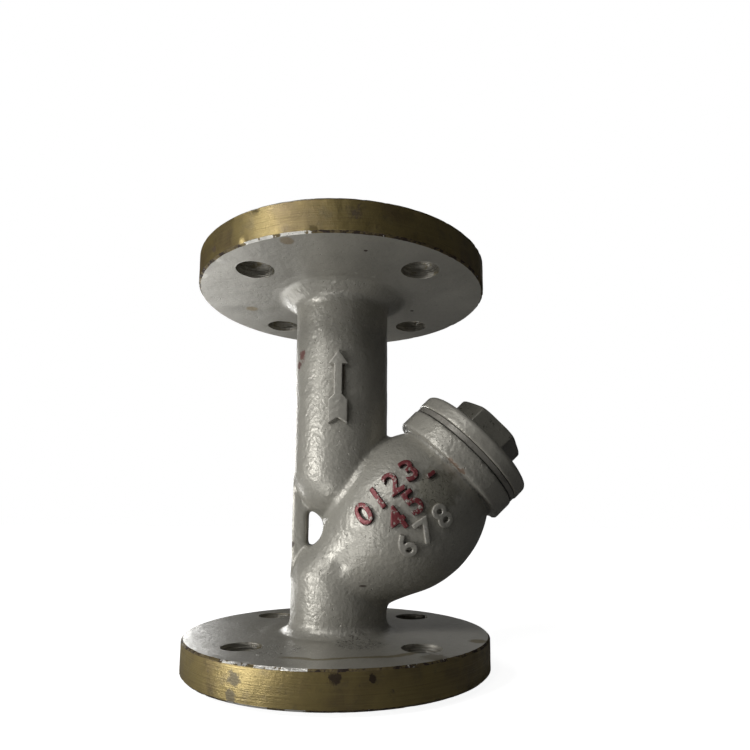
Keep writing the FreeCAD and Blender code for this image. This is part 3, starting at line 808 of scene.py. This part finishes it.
# %% Flanges
def flange(name, face, direction):
    """One flange; direction is 1 when its back is above its face."""
    def at(distance):
        return face + direction * distance

    chamfer = 0.8 * MM
    groove = 0.12 * MM * direction
    rim_low = face_height + chamfer
    rim_high = flange_back - chamfer
    sealing = serrations(bore_radius + 3 * MM, face_radius - 2 * MM, face, groove, 1.0 * MM)
    outline = [(0, at(0))] + sealing + [
        (face_radius - 0.3 * MM, at(0)),
        (face_radius, at(0.3 * MM)),
        (face_radius, at(face_height)),
        (flange_radius - chamfer, at(face_height)),
    ]
    face_rows = len(outline) - 1
    rim_steps = 4
    for step in range(rim_steps + 1):
        outline.append((flange_radius, at(rim_low + (rim_high - rim_low) * step / rim_steps)))
    back = flange_back - 0.1 * MM
    outline.append((flange_radius - chamfer * 0.9, at(back)))
    back_rings = 16
    inner = neck_reach - 8 * MM
    for step in range(1, back_rings + 1):
        radius = flange_radius - chamfer - (flange_radius - chamfer - inner) * step / back_rings
        outline.append((radius, at(back)))
    outline.append((0, at(back)))
    face_kind, rim_kind, cast_kind, edge_kind = range(4)
    rows = [face_kind] * face_rows + [edge_kind] + [rim_kind] * rim_steps + [edge_kind]
    rows += [cast_kind] * (back_rings + 1)
    materials = [face_material, rim_material, casting_material, edge_material]
    return lathe(name, outline, materials, 288, 0.5 * MM, rows, 0.16 * MM)


# %% Outlines of the bores and the chamber
def barrel(curve, radius_at):
    """Where a barrel curve about the chamber's centre has a radius."""
    drop = radius_at + bulb_curve - bulb_radius
    return math.sqrt(curve * curve - drop * drop)


def chamber_outline():
    inner = bulb_curve - bulb_wall
    thread_room = thread_radius + 0.15 * MM
    first = bulb_centre - barrel(inner, screen_room)
    last = bulb_centre + barrel(inner, thread_room)
    outline = [(0, 0), (bore_radius, 0), (bore_radius, seat_start), (screen_room, seat_start)]
    steps = 16
    for index in range(steps + 1):
        along = first + (last - first) * index / steps
        drop = math.sqrt(inner ** 2 - (along - bulb_centre) ** 2)
        outline.append((drop - bulb_curve + bulb_radius, along))
    beyond = collar_end + 2 * MM
    return outline + [(thread_room, beyond), (0, beyond)]


def round_end(middle, radius, direction):
    """Quarter circle from the axis to the full radius."""
    points = []
    for index in range(9):
        turn = math.pi / 2 * index / 8
        points.append((radius * math.sin(turn), middle - direction * radius * math.cos(turn)))
    points[0] = (0, points[0][1])
    return points


def placed(thing, matrix):
    thing.data.transform(matrix)
    return thing


def bored(name, outline, matrix, segments=96, material=bore_material):
    """Tool that cuts a bore, put in its place."""
    return placed(lathe(name, outline, [material], segments), matrix)


def straight(radius, low, high):
    return [(0, low), (radius, low), (radius, high), (0, high)]


def bolt_hole_tools():
    tools = []
    for name, low, high in (("low", -2 * MM, 18 * MM), ("high", length - 18 * MM, length + 2 * MM)):
        for quarter in range(4):
            shift = round_place(math.pi / 4 + quarter * math.pi / 2, bolt_circle, 0)
            tools.append(bored(
                f"bolt_hole_{name}_{quarter}", straight(bolt_radius, low, high),
                Matrix.Translation(shift), 64, drilled_material))
    return tools


# %% Unite the flanges and cut the bores
inlet_flange = flange("inlet_flange", 0.0, 1)
outlet_flange = flange("outlet_flange", length, -1)
upright = Matrix.Identity(4)
inlet_outline = [(0, -2 * MM), (bore_radius, -2 * MM)]
inlet_outline += list(reversed(round_end(branch_foot.z, bore_radius, -1)))
outlet_end = length + 2 * MM
outlet_outline = round_end(pipe_start, bore_radius, 1) + [(bore_radius, outlet_end), (0, outlet_end)]
port_outline = straight(bore_radius, 0, (pipe_start - branch_foot.z) * branch_axis.z)
port_turn = Matrix.Translation((0, 0, pipe_start)) @ across.to_track_quat("Z", "Y").to_matrix().to_4x4()
cutters = [
    bored("inlet_bore", inlet_outline, upright),
    bored("chamber", chamber_outline(), lean, 128),
    bored("outlet_bore", outlet_outline, upright),
    bored("outlet_port", port_outline, port_turn),
] + bolt_hole_tools()

steps = [(inlet_flange, "UNION"), (outlet_flange, "UNION")]
steps += [(tool, "DIFFERENCE") for tool in cutters]
casting = combined(casting, steps)
report(casting)

# %% Shading of the casting
def shade(thing, degrees):
    """Smooth faces, with sharp edges where the turned surfaces meet."""
    thing.data.shade_smooth()
    thing.data.set_sharp_from_angle(angle=math.radians(degrees))


shade(casting, 40)
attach(casting, "body")
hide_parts("body_casting")

# %% [markdown]
# ## Raised marks
# Foundries raise a flow arrow and some figures on the pattern. The figures
# here are plain numbers. Flat shapes are extruded with a soft bevel, remeshed
# so that they can bend, roughened like sand, and wrapped round the surface.

# %% Marks that follow the surface
def curve_mesh(name, curve):
    return plain_copy(add_object(name, curve), name)


FIGURE_HEIGHT = 8.6 * MM
FIGURE_RISE = 1.15 * MM
# A figure's height as a share of the font's size.
FIGURE_SHARE = 0.72


def cast_relief(thing, wrap):
    """Remesh a flat mark, soften it, then bend it onto the surface."""
    name = thing.name
    remesh = thing.modifiers.new("even", "REMESH")
    remesh.mode = "VOXEL"
    remesh.voxel_size = 0.22 * MM
    soften = thing.modifiers.new("soften", "SMOOTH")
    soften.iterations = 7
    soften.factor = 0.5
    thing = plain_copy(thing, name)
    for vertex in thing.data.vertices:
        vertex.co.z += noise.noise(vertex.co * 700) * 0.05 * MM
        vertex.co = wrap(vertex.co)
    thing.data.shade_smooth()
    return thing


def text_mesh(name, text):
    curve = bpy.data.curves.new(name, "FONT")
    curve.body = text
    curve.size = FIGURE_HEIGHT / FIGURE_SHARE
    curve.align_x = "CENTER"
    curve.align_y = "CENTER"
    curve.offset = 0.16 * MM
    curve.extrude = FIGURE_RISE
    curve.bevel_depth = 0.2 * MM
    curve.bevel_resolution = 1
    return curve_mesh(name, curve)


def onto_bulb(middle, turn, tilt):
    """Wrap that centres a mark on the chamber, read along the branch."""
    tilted = Matrix.Rotation(tilt, 4, "Z")

    def wrap(flat):
        mark = tilted @ flat
        along = middle + mark.x
        skin = math.sqrt(bulb_curve ** 2 - (along - bulb_centre) ** 2) - bulb_curve + bulb_radius
        return on_bulb(along, turn - mark.y / bulb_radius, skin + mark.z)
    return wrap


def onto_pipe(middle):
    def wrap(flat):
        turn = flat.x / pipe_radius
        out = pipe_radius + flat.z
        return Vector((math.sin(turn) * out, -math.cos(turn) * out, middle + flat.y))
    return wrap


def joined(name, things):
    """One object from several, which are removed."""
    shape = bmesh.new()
    for thing in things:
        shape.from_mesh(thing.data)
        bpy.data.objects.remove(thing)
    whole = mesh_object(name, shape)
    whole.data.shade_smooth()
    return whole


def arrow_mesh(name, long, wide, line, rise):
    """Flow arrow with a split tail, as a filled flat curve."""
    half = wide / 2
    thin = line / 2
    tail = long * 0.39
    head = long * 0.82
    right = [(half, 0), (half, tail * 0.82), (thin, tail), (thin, head), (half, head)]
    outline = [(0, tail * 0.2)] + right + [(0, long)]
    outline += [(-x, y) for x, y in reversed(right)]
    curve = bpy.data.curves.new(name, "CURVE")
    curve.dimensions = "2D"
    curve.fill_mode = "BOTH"
    curve.extrude = rise
    curve.bevel_depth = 0.15 * MM
    spline = curve.splines.new("POLY")
    spline.points.add(len(outline) - 1)
    for point, (x, y) in zip(spline.points, outline):
        point.co = (x, y - long / 2, 0, 1)
    spline.use_cyclic_u = True
    return curve_mesh(name, curve)


# %% Paint of the marks
def outwards(finish):
    """How far a face of a mark looks out of the chamber: 1 on its top."""
    tree = finish.tree
    middle = lean @ Vector((0, 0, bulb_centre))
    kind = "ShaderNodeVectorMath"
    away = add_node(tree, kind, {0: finish.place, 1: middle}, operation="SUBTRACT")
    unit = add_node(tree, kind, {0: away.outputs[0]}, operation="NORMALIZE")
    normal = tree.nodes.new("ShaderNodeNewGeometry").outputs["Normal"]
    both = add_node(tree, kind, {0: unit.outputs[0], 1: normal}, operation="DOT_PRODUCT")
    return Field(tree, both.outputs["Value"])


def mark_paint(name, red):
    """Raised marks: silver paint, with brushed red on top and painted shade on the sides where asked."""
    finish = silver_paint(name, (0.38, 0.365, 0.32), (0.50, 0.49, 0.46))
    if red:
        finish.mottle((600.0, 4.0, 0.65), 0.62, 0.54, 0.92, (0.155, 0.006, 0.014), 0.4)
        finish.mottle((1300.0, 4.0, 0.7), 0.58, 0.68, 0.8, (0.055, 0.02, 0.018), 0.6)
        # Painted shade: the sides of the red figures are darkened.
        side_shade = inside(outwards(finish), 0.6, 0.92)
        finish.layer(side_shade * 0.75, (0.05, 0.03, 0.027), 0.6)
    return finish.finished(finish.grain(0.8, 1.0, 0.6), 0.0002)


# %% Red and bare figures, arrow
def mark(thing, material):
    wear(thing, material)
    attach(thing, "body")
    report(thing)


red_material = mark_paint("red_marks", True)
bare_material = mark_paint("bare_marks", False)
ROWS = [
    # (name, characters, first one's place and the step along the branch,
    #  turn from the front in degrees, turn's step, material)
    ("upper_numbers", "0123", 25.2 * MM, 7.4 * MM, -22.0, 0.3, red_material),
    ("middle_numbers", "45", 32.0 * MM, 8.3 * MM, -2.2, -0.4, red_material),
    ("lower_numbers", "678", 27.9 * MM, 8.2 * MM, 15.6, 1.4, bare_material),
    ("mark_dash", "-", 52.0 * MM, 0.0, -10.5, 0.0, red_material),
]
for name, characters, first, step, turn, turn_step, material in ROWS:
    digits = []
    for index, character in enumerate(characters):
        digit = text_mesh(f"{name}_{index}", character)
        place = first + step * index
        tilt = math.radians(-8 + 3 * math.sin(5.0 * place / MM))
        wrap = onto_bulb(place, math.radians(turn + turn_step * index), tilt)
        digits.append(cast_relief(digit, wrap))
    mark(joined(name, digits), material)

arrow = arrow_mesh("flow_arrow", 27.8 * MM, 6.5 * MM, 2.7 * MM, 1.4 * MM)
mark(cast_relief(arrow, onto_pipe(105.4 * MM)), bare_material)

# %% [markdown]
# ## The cover
# The cap and its hexagon are one casting, so they are again distance fields
# with rounded edges. The thread is turned: its surface is a grid of heights
# that climbs one pitch in each turn. The two are united and bored out.

# %% Cap and hexagon
gasket_end = collar_end + 2.5 * MM
cap_top = gasket_end + 6 * MM
hexagon_top = cap_top + 9.5 * MM
COVER_SIZES = {
    "Cap radius": 26 * MM,
    "Across flats": 27 * MM,
    "Chamfer radius": 14.2 * MM,
    "Unevenness": 0.22 * MM,
}
cover_cell = 0.45 * MM


def cover_tree(material):
    tree, size = new_tree("cover_head", COVER_SIZES)
    x, y, z = split_vector(tree, point_place(tree))
    around = span(x, y)
    cap = rounded_cut(around - size["Cap radius"], z - cap_top, 1.6 * MM)
    cap = rounded_cut(cap, -(z - gasket_end), 0.35 * MM)
    half = size["Across flats"] / 2
    flats = y.size() - half
    for turn in (60, 120):
        slab = (x * math.sin(math.radians(turn)) + y * math.cos(math.radians(turn))).size() - half
        flats = rounded_cut(flats, slab, 0.4 * MM)
    column = rounded_cut(flats, z - hexagon_top, 0.7 * MM)
    column = column.most(-(z - gasket_end - 1 * MM))
    bevelled = (around - size["Chamfer radius"]) * 0.5 + (z - hexagon_top) * 0.866
    column = rounded_cut(column, bevelled, 0.5 * MM)
    body = filleted(cap, column, 1.2 * MM)
    sand = (noise_field(tree, point_place(tree), 130.0, 3.0, 0.5) - 0.5) * size["Unevenness"]
    side = 28 * MM
    low = (-side, -side, gasket_end - 1 * MM)
    high = (side, side, hexagon_top + 1 * MM)
    return surface_tree(tree, body + sand, low, high, cover_cell, material)


def branch_distance(finish):
    """Distance along the branch axis, from the axis's foot."""
    inputs = {0: finish.place, 1: branch_axis}
    both = add_node(finish.tree, "ShaderNodeVectorMath", inputs, operation="DOT_PRODUCT")
    return Field(finish.tree, both.outputs["Value"]) - branch_foot.dot(branch_axis)


# %% Paint of the cover and steel of its thread
def cover_paint():
    finish = silver_paint("silver_cover", (0.36, 0.345, 0.30), (0.50, 0.48, 0.43))
    # The hexagon is painted darker: partly worn, dirty paint, partly painted shade.
    ragged = (finish.noise(300.0, 4.0, 0.6) - 0.5) * 4 * MM
    upper = stepped(branch_distance(finish) + ragged, cap_top, cap_top + 2.5 * MM)
    finish.layer(upper * 0.6, (0.17, 0.16, 0.13), 0.45)
    finish.layer(upper * stepped(finish.noise(500.0, 4.0, 0.7), 0.58, 0.7), (0.05, 0.045, 0.035), 0.6)
    edges = finish.group(wear_and_hollow_shade, "Edges", Sharpness=1.4)
    finish.layer(edges * 0.6, (0.42, 0.40, 0.33), 0.35)
    return finish.finished(finish.grain(1.0, 0.9, 0.7), 0.00022)


def thread_steel():
    finish = Finish("thread_steel", (0.45, 0.43, 0.40), 0.34, 0.9)
    finish.mottle((300.0, 4.0, 0.65), 0.5, 0.7, 0.5, (0.16, 0.12, 0.08), 0.55)
    return finish.finished(finish.noise(900.0, 4.0, 0.6), 0.00008)


cover_material = cover_paint()
steel_material = thread_steel()
cover = baked("strainer_cover", cover_tree(cover_material), COVER_SIZES)
report(cover)

# %% Threaded spigot
THREAD_PITCH = 2 * MM
THREAD_DEPTH = 1.2268 * MM
SPIGOT_LENGTH = 13 * MM
SPIGOT_START = collar_end - SPIGOT_LENGTH


def limited(share):
    return min(1.0, max(0.0, share))


def thread_height(turn, along):
    """Depth of the thread's groove at a place on the spigot."""
    phase = ((along - SPIGOT_START) / THREAD_PITCH - turn / (2 * math.pi)) % 1.0
    ridge = abs(phase - 0.5) * 2
    depth = limited((ridge - 0.10) / 0.75) * THREAD_DEPTH
    lead = limited((along - SPIGOT_START) / (1.2 * MM))
    tail = limited((collar_end - 2.2 * MM - along) / (0.9 * MM))
    return THREAD_DEPTH - (THREAD_DEPTH - depth) * min(lead, tail)


def spigot_mesh():
    segments = 96
    rows = round(SPIGOT_LENGTH / (0.2 * MM)) + 1
    shape = bmesh.new()
    rings = [[shape.verts.new((0, 0, SPIGOT_START))] * segments]
    top = gasket_end + 2 * MM
    for row in range(rows + 1):
        along = SPIGOT_START + (top - SPIGOT_START) * row / rows
        ring = []
        for index in range(segments):
            turn = 2 * math.pi * index / segments
            radius = thread_radius - thread_height(turn, along)
            ring.append(shape.verts.new(round_place(turn, radius, along)))
        rings.append(ring)
    rings.append([shape.verts.new((0, 0, top))] * segments)
    return close_rings("spigot", shape, rings, [steel_material])


recess_end = SPIGOT_START + 10 * MM
recess_outline = straight(screen_room, SPIGOT_START - 2 * MM, recess_end)
recess = lathe("recess", recess_outline, [steel_material], 96)
cover = combined(cover, [(spigot_mesh(), "UNION"), (recess, "DIFFERENCE")])
placed(cover, lean)
shade(cover, 38)
report(cover)
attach(cover, "cover")
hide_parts("screen_cover")

# %% [markdown]
# ## The gasket
# A spiral gasket is a steel strip wound with graphite inside a guide ring. The
# CAD solids already have that shape, so they only need their finishes. The
# ring's outside caught some of the silver paint.

# %% Gasket finishes
def ring_paint():
    finish = Finish("painted_ring", (0.30, 0.285, 0.25), 0.42, 0.45)
    finish.mottle((260.0, 4.0, 0.65), 0.5, 0.66, 0.6, (0.12, 0.11, 0.095), 0.55)
    finish.mottle((800.0, 4.0, 0.7), 0.62, 0.7, 0.6, (0.06, 0.05, 0.04), 0.6)
    middle = (collar_end + gasket_end) / 2
    from_middle = (branch_distance(finish) - middle).size()
    # Painted shade: the ring darkens towards both faces, in the gaps by the collar and the cap.
    joint = stepped(from_middle, 0.75 * MM, 1.1 * MM)
    finish.layer(joint * 0.9, (0.03, 0.027, 0.022), 0.7)
    return finish.finished(finish.noise(900.0, 4.0, 0.6), 0.00015)


def graphite():
    finish = Finish("graphite", (0.035, 0.035, 0.038), 0.5, 0.25)
    finish.mottle((1500.0, 4.0, 0.6), 0.5, 0.7, 0.5, (0.085, 0.085, 0.09), 0.35)
    return finish.finished(finish.noise(1200.0, 4.0, 0.6), 0.0001)


def stainless(name, colour, roughness):
    """Stainless sheet or wire with a fine grain."""
    finish = Finish(name, colour, roughness, 0.95)
    finish.mottle((80.0, 4.0, 0.6), 0.5, 0.75, 0.3, (0.38, 0.36, 0.33), 0.42)
    return finish.finished(finish.noise(1600.0, 3.0, 0.6), 0.00005)


band_material = stainless("stainless_band", (0.55, 0.54, 0.51), 0.34)
wire_material = stainless("stainless_wire", (0.50, 0.49, 0.47), 0.36)
NODE_FINISHES = {
    "gasket_guide_ring": ring_paint(),
    "gasket_graphite_filler": graphite(),
    "gasket_steel_winding": stainless("winding_strip", (0.52, 0.51, 0.49), 0.30),
    "screen_perforated_sheet": stainless("stainless_sheet", (0.58, 0.57, 0.55), 0.30),
    "screen_lower_ring": band_material,
    "screen_upper_ring": band_material,
}
for node, material in NODE_FINISHES.items():
    wear(frame["nodes"][node], material)
print("dressed nodes:", list(NODE_FINISHES))

# %% [markdown]
# ## The screen's wire cloth and welds
# The lining is woven: each wire passes over and under the ones it crosses. One
# tree makes the round wires and the straight ones with a sine for the weave.
# A second tree places the spot welds of the bands and of the lap.

# %% Wire cloth
SCREEN_END = recess_end - 0.3 * MM
CLOTH_SIZES = {
    "Radius": 14.15 * MM,
    "Wire": 0.14 * MM,
    "Weave": 0.13 * MM,
    "Start": seat_start,
    "End": SCREEN_END,
}
ROUND_WIRES = 42
STRAIGHT_WIRES = 64
WIRE_SIDES = 4

# %% One wire
def wavy_curve(tree, size, points, straight_one):
    """One wire of the cloth as a curve on or along the screen's axis."""
    ends = {"Start": (0, 0, 0), "End": (0, 0, 1)}
    line = add_node(tree, "GeometryNodeCurvePrimitiveLine", ends)
    dense = add_node(tree, "GeometryNodeResampleCurve", {"Count": points, "Curve": line.outputs[0]})
    step = split_vector(tree, point_place(tree))[2]
    lift = size["End"] - size["Start"]
    if straight_one:
        wave = (step * (math.pi * ROUND_WIRES)).math("SINE")
        radius = size["Radius"] + wave * size["Weave"]
        bent = combine(tree, radius, 0.0, size["Start"] + lift * step)
    else:
        wave = (step * (math.pi * STRAIGHT_WIRES)).math("SINE")
        radius = size["Radius"] - wave * size["Weave"]
        turn = step * (2 * math.pi)
        bent = combine(tree, turn.math("COSINE") * radius, turn.math("SINE") * radius, 0.0)
    inputs = {"Geometry": dense.outputs["Curve"], "Position": bent}
    bend = add_node(tree, "GeometryNodeSetPosition", inputs)
    inputs = {"Resolution": WIRE_SIDES, "Radius": size["Wire"]}
    profile = add_node(tree, "GeometryNodeCurvePrimitiveCircle", inputs)
    body = add_node(tree, "GeometryNodeCurveToMesh", {
        "Curve": bend.outputs["Geometry"],
        "Profile Curve": profile.outputs["Curve"],
        "Fill Caps": straight_one,
    })
    return body.outputs["Mesh"]


# %% Rows of wires and welds
def repeated(tree, thing, count, turn_step, place_at, turn_first=0.0):
    """Instances of one thing, each at its own place and turn about the axis."""
    line = {"Count": count, "Offset": (0, 0, 0)}
    row = add_node(tree, "GeometryNodeMeshLine", line, mode="OFFSET")
    number = Field(tree, tree.nodes.new("GeometryNodeInputIndex").outputs[0])
    turn = number * turn_step + turn_first
    inputs = {"Geometry": row.outputs["Mesh"], "Position": place_at(number, turn)}
    spread = add_node(tree, "GeometryNodeSetPosition", inputs)
    copies = add_node(tree, "GeometryNodeInstanceOnPoints", {
        "Points": spread.outputs["Geometry"],
        "Instance": thing,
        "Rotation": combine(tree, 0.0, 0.0, turn),
    })
    return copies.outputs["Instances"]


def cloth_tree(material):
    tree, size = new_tree("wire_cloth", CLOTH_SIZES)
    upright_wire = wavy_curve(tree, size, ROUND_WIRES * 4, True)
    hoop = wavy_curve(tree, size, STRAIGHT_WIRES * 4, False)
    pitch = (SCREEN_END - seat_start) / ROUND_WIRES

    def on_axis(*_):
        return combine(tree, 0.0, 0.0, 0.0)

    def up_axis(number, _):
        return combine(tree, 0.0, 0.0, number * pitch + (seat_start + pitch / 2))

    join = tree.nodes.new("GeometryNodeJoinGeometry")
    around = 2 * math.pi / STRAIGHT_WIRES
    feed(tree, join.inputs[0], repeated(tree, upright_wire, STRAIGHT_WIRES, around, on_axis))
    feed(tree, join.inputs[0], repeated(tree, hoop, ROUND_WIRES, 0.0, up_axis))
    return finish_tree(tree, join.outputs[0], material)


cloth = placed(baked("woven_lining", cloth_tree(wire_material), CLOTH_SIZES), lean)
cloth.data.shade_smooth()
report(cloth)
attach(cloth, "screen")
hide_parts("screen_mesh_lining")

# %% Spot welds
WELD_SIZES = {"Radius": 16 * MM, "Button": 0.9 * MM}


def weld_tree(material, places):
    """Small flattened buttons at given heights and turns."""
    tree, size = new_tree("spot_welds", WELD_SIZES)
    join = tree.nodes.new("GeometryNodeJoinGeometry")
    for height, first, step, count in places:
        ball = {"Segments": 12, "Rings": 6, "Radius": size["Button"]}
        button = add_node(tree, "GeometryNodeMeshUVSphere", ball)
        inputs = {"Geometry": button.outputs["Mesh"], "Scale": (0.25, 1.0, 1.0)}
        press = add_node(tree, "GeometryNodeTransform", inputs)

        def on_band(_, turn):
            x = turn.math("COSINE") * size["Radius"]
            return combine(tree, x, turn.math("SINE") * size["Radius"], height)

        row = repeated(tree, press.outputs["Geometry"], count, step, on_band, first)
        feed(tree, join.inputs[0], row)
    return finish_tree(tree, join.outputs[0], material)


ring_welds = [
    (seat_start + 2.5 * MM, 0.3, 2 * math.pi / 10, 10),
    (SCREEN_END - 2.5 * MM, 0.3, 2 * math.pi / 10, 10),
]
lap_start = seat_start + 8 * MM
lap_step = (SCREEN_END - 8 * MM - lap_start) / 6
lap_welds = [(lap_start + lap_step * index, 0.0, 0.0, 1) for index in range(7)]
welds = baked("spot_welds", weld_tree(band_material, ring_welds + lap_welds), WELD_SIZES)
placed(welds, lean)
welds.data.shade_smooth()
report(welds)
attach(welds, "screen")

# %% [markdown]
# ## Floor and light
# The object stands on a pale floor by a window at its left. Five soft lamps
# make the window, the sky and the walls behind; two that lie on the floor are
# the light that the table throws back. The right side is nearly in the dark.
# White seen straight by the camera comes from Light Path and adds no light.

# %% Floor and world
def seen_by_camera(tree):
    return Field(tree, tree.nodes.new("ShaderNodeLightPath").outputs["Is Camera Ray"])


def make_floor():
    bpy.ops.mesh.primitive_plane_add(size=6.0, location=(0, 0, casting_low.z))
    floor = bpy.context.object
    floor.name = "studio_floor"
    material = bpy.data.materials.new("studio_floor")
    material.use_nodes = True
    tree = material.node_tree
    shader = tree.nodes["Principled BSDF"]
    seen = seen_by_camera(tree)
    x, y, _ = split_vector(tree, object_coordinates(tree))
    pale = seen * 0.45 + 0.35
    looks = {
        "Roughness": 0.9,
        "Specular IOR Level": 0.0,
        "Emission Color": (1, 1, 1, 1),
        "Emission Strength": seen * (stepped(span(x, y), 0.15, 0.6) * 0.10 + 0.91),
        "Base Color": combine(tree, pale, pale, pale),
    }
    for title, value in looks.items():
        feed(tree, shader.inputs[title], value)
    floor.data.materials.append(material)


def make_world():
    """White for the camera; for the light a dim rim and a dim ceiling."""
    world = bpy.data.worlds.new("studio")
    bpy.context.scene.world = world
    world.use_nodes = True
    tree = world.node_tree
    back = tree.nodes["Background"]
    seen = seen_by_camera(tree)
    way = tree.nodes.new("ShaderNodeTexCoord").outputs["Generated"]
    x, _, z = split_vector(tree, way)
    studio = stepped(x, 0.45, 0.9) * 0.05 + stepped(z, 0.5, 0.95) * 0.05 + 0.005
    level = studio + (-studio + 1.0) * seen
    feed(tree, back.inputs["Strength"], level)
    back.inputs["Color"].default_value = (1, 1, 1, 1)


# %% Lamps
LAMP_DISTANCE = 0.75
LAMPS = [
    # (name, degrees round from the front towards the left, height in metres,
    #  width and height of the lamp, power)
    ("window", 62, 0.05, (0.22, 0.22), 3.6),
    ("sky", 48, 0.58, (0.24, 0.22), 2.4),
    ("sky_front", 20, 0.60, (0.14, 0.14), 0.55),
    ("wall_behind", 150, 0.20, (0.22, 0.22), 1.2),
    ("wall_right", -165, 0.35, (0.40, 0.40), 0.14),
]
TABLE_LAMPS = [
    # (name, place on the table, width, power)
    ("table_near", (-0.075, -0.09), 0.062, 0.062),
    ("table_back", (-0.20, 0.20), 0.21, 0.51),
]


def soft_lamp(name, place, target, size, power):
    """Area lamp of a width and height, aimed at a point."""
    lamp = bpy.data.lights.new(name, "AREA")
    lamp.shape = "RECTANGLE"
    lamp.size, lamp.size_y = size
    lamp.energy = power
    thing = add_object(name, lamp)
    aim = (target - place).to_track_quat("-Z", "Y")
    thing.matrix_world = Matrix.Translation(place) @ aim.to_matrix().to_4x4()
    thing.visible_camera = False


make_floor()
make_world()
middle = Vector((0.005, 0, length / 2))
for name, degrees, height, size, power in LAMPS:
    turn = math.radians(degrees)
    away = Vector((-math.sin(turn), -math.cos(turn), 0)) * LAMP_DISTANCE
    soft_lamp(name, away + Vector((0, 0, height)), middle, size, power)


for name, (x, y), width, power in TABLE_LAMPS:
    place = Vector((x, y, casting_low.z + 0.5 * MM))
    soft_lamp(name, place, place + Vector((0, 0, 1)), (width, width), power)


# %% [markdown]
# ## Camera
# The camera stands close and low, a little below the middle of the strainer,
# and looks slightly up, so the upper flange shows its underside and the lower
# one its top.

# %% Place the camera
camera_data = bpy.data.cameras.new("camera")
camera_data.sensor_width = 36
camera_data.lens = 26.75
camera_data.shift_x = 0.0013
camera_data.shift_y = 0.091
camera_data.clip_start = 0.01
camera = add_object("camera", camera_data)
turn = Matrix.Rotation(math.radians(0.506), 4, "Z")
tilt = Matrix.Rotation(math.radians(90 + 7.663), 4, "X")
roll = Matrix.Rotation(math.radians(0.379), 4, "Z")
camera.matrix_world = Matrix.Translation((0.01535, -0.22275, 0.0566)) @ turn @ tilt @ roll
bpy.context.scene.camera = camera
bpy.context.scene.view_settings.view_transform = "Standard"
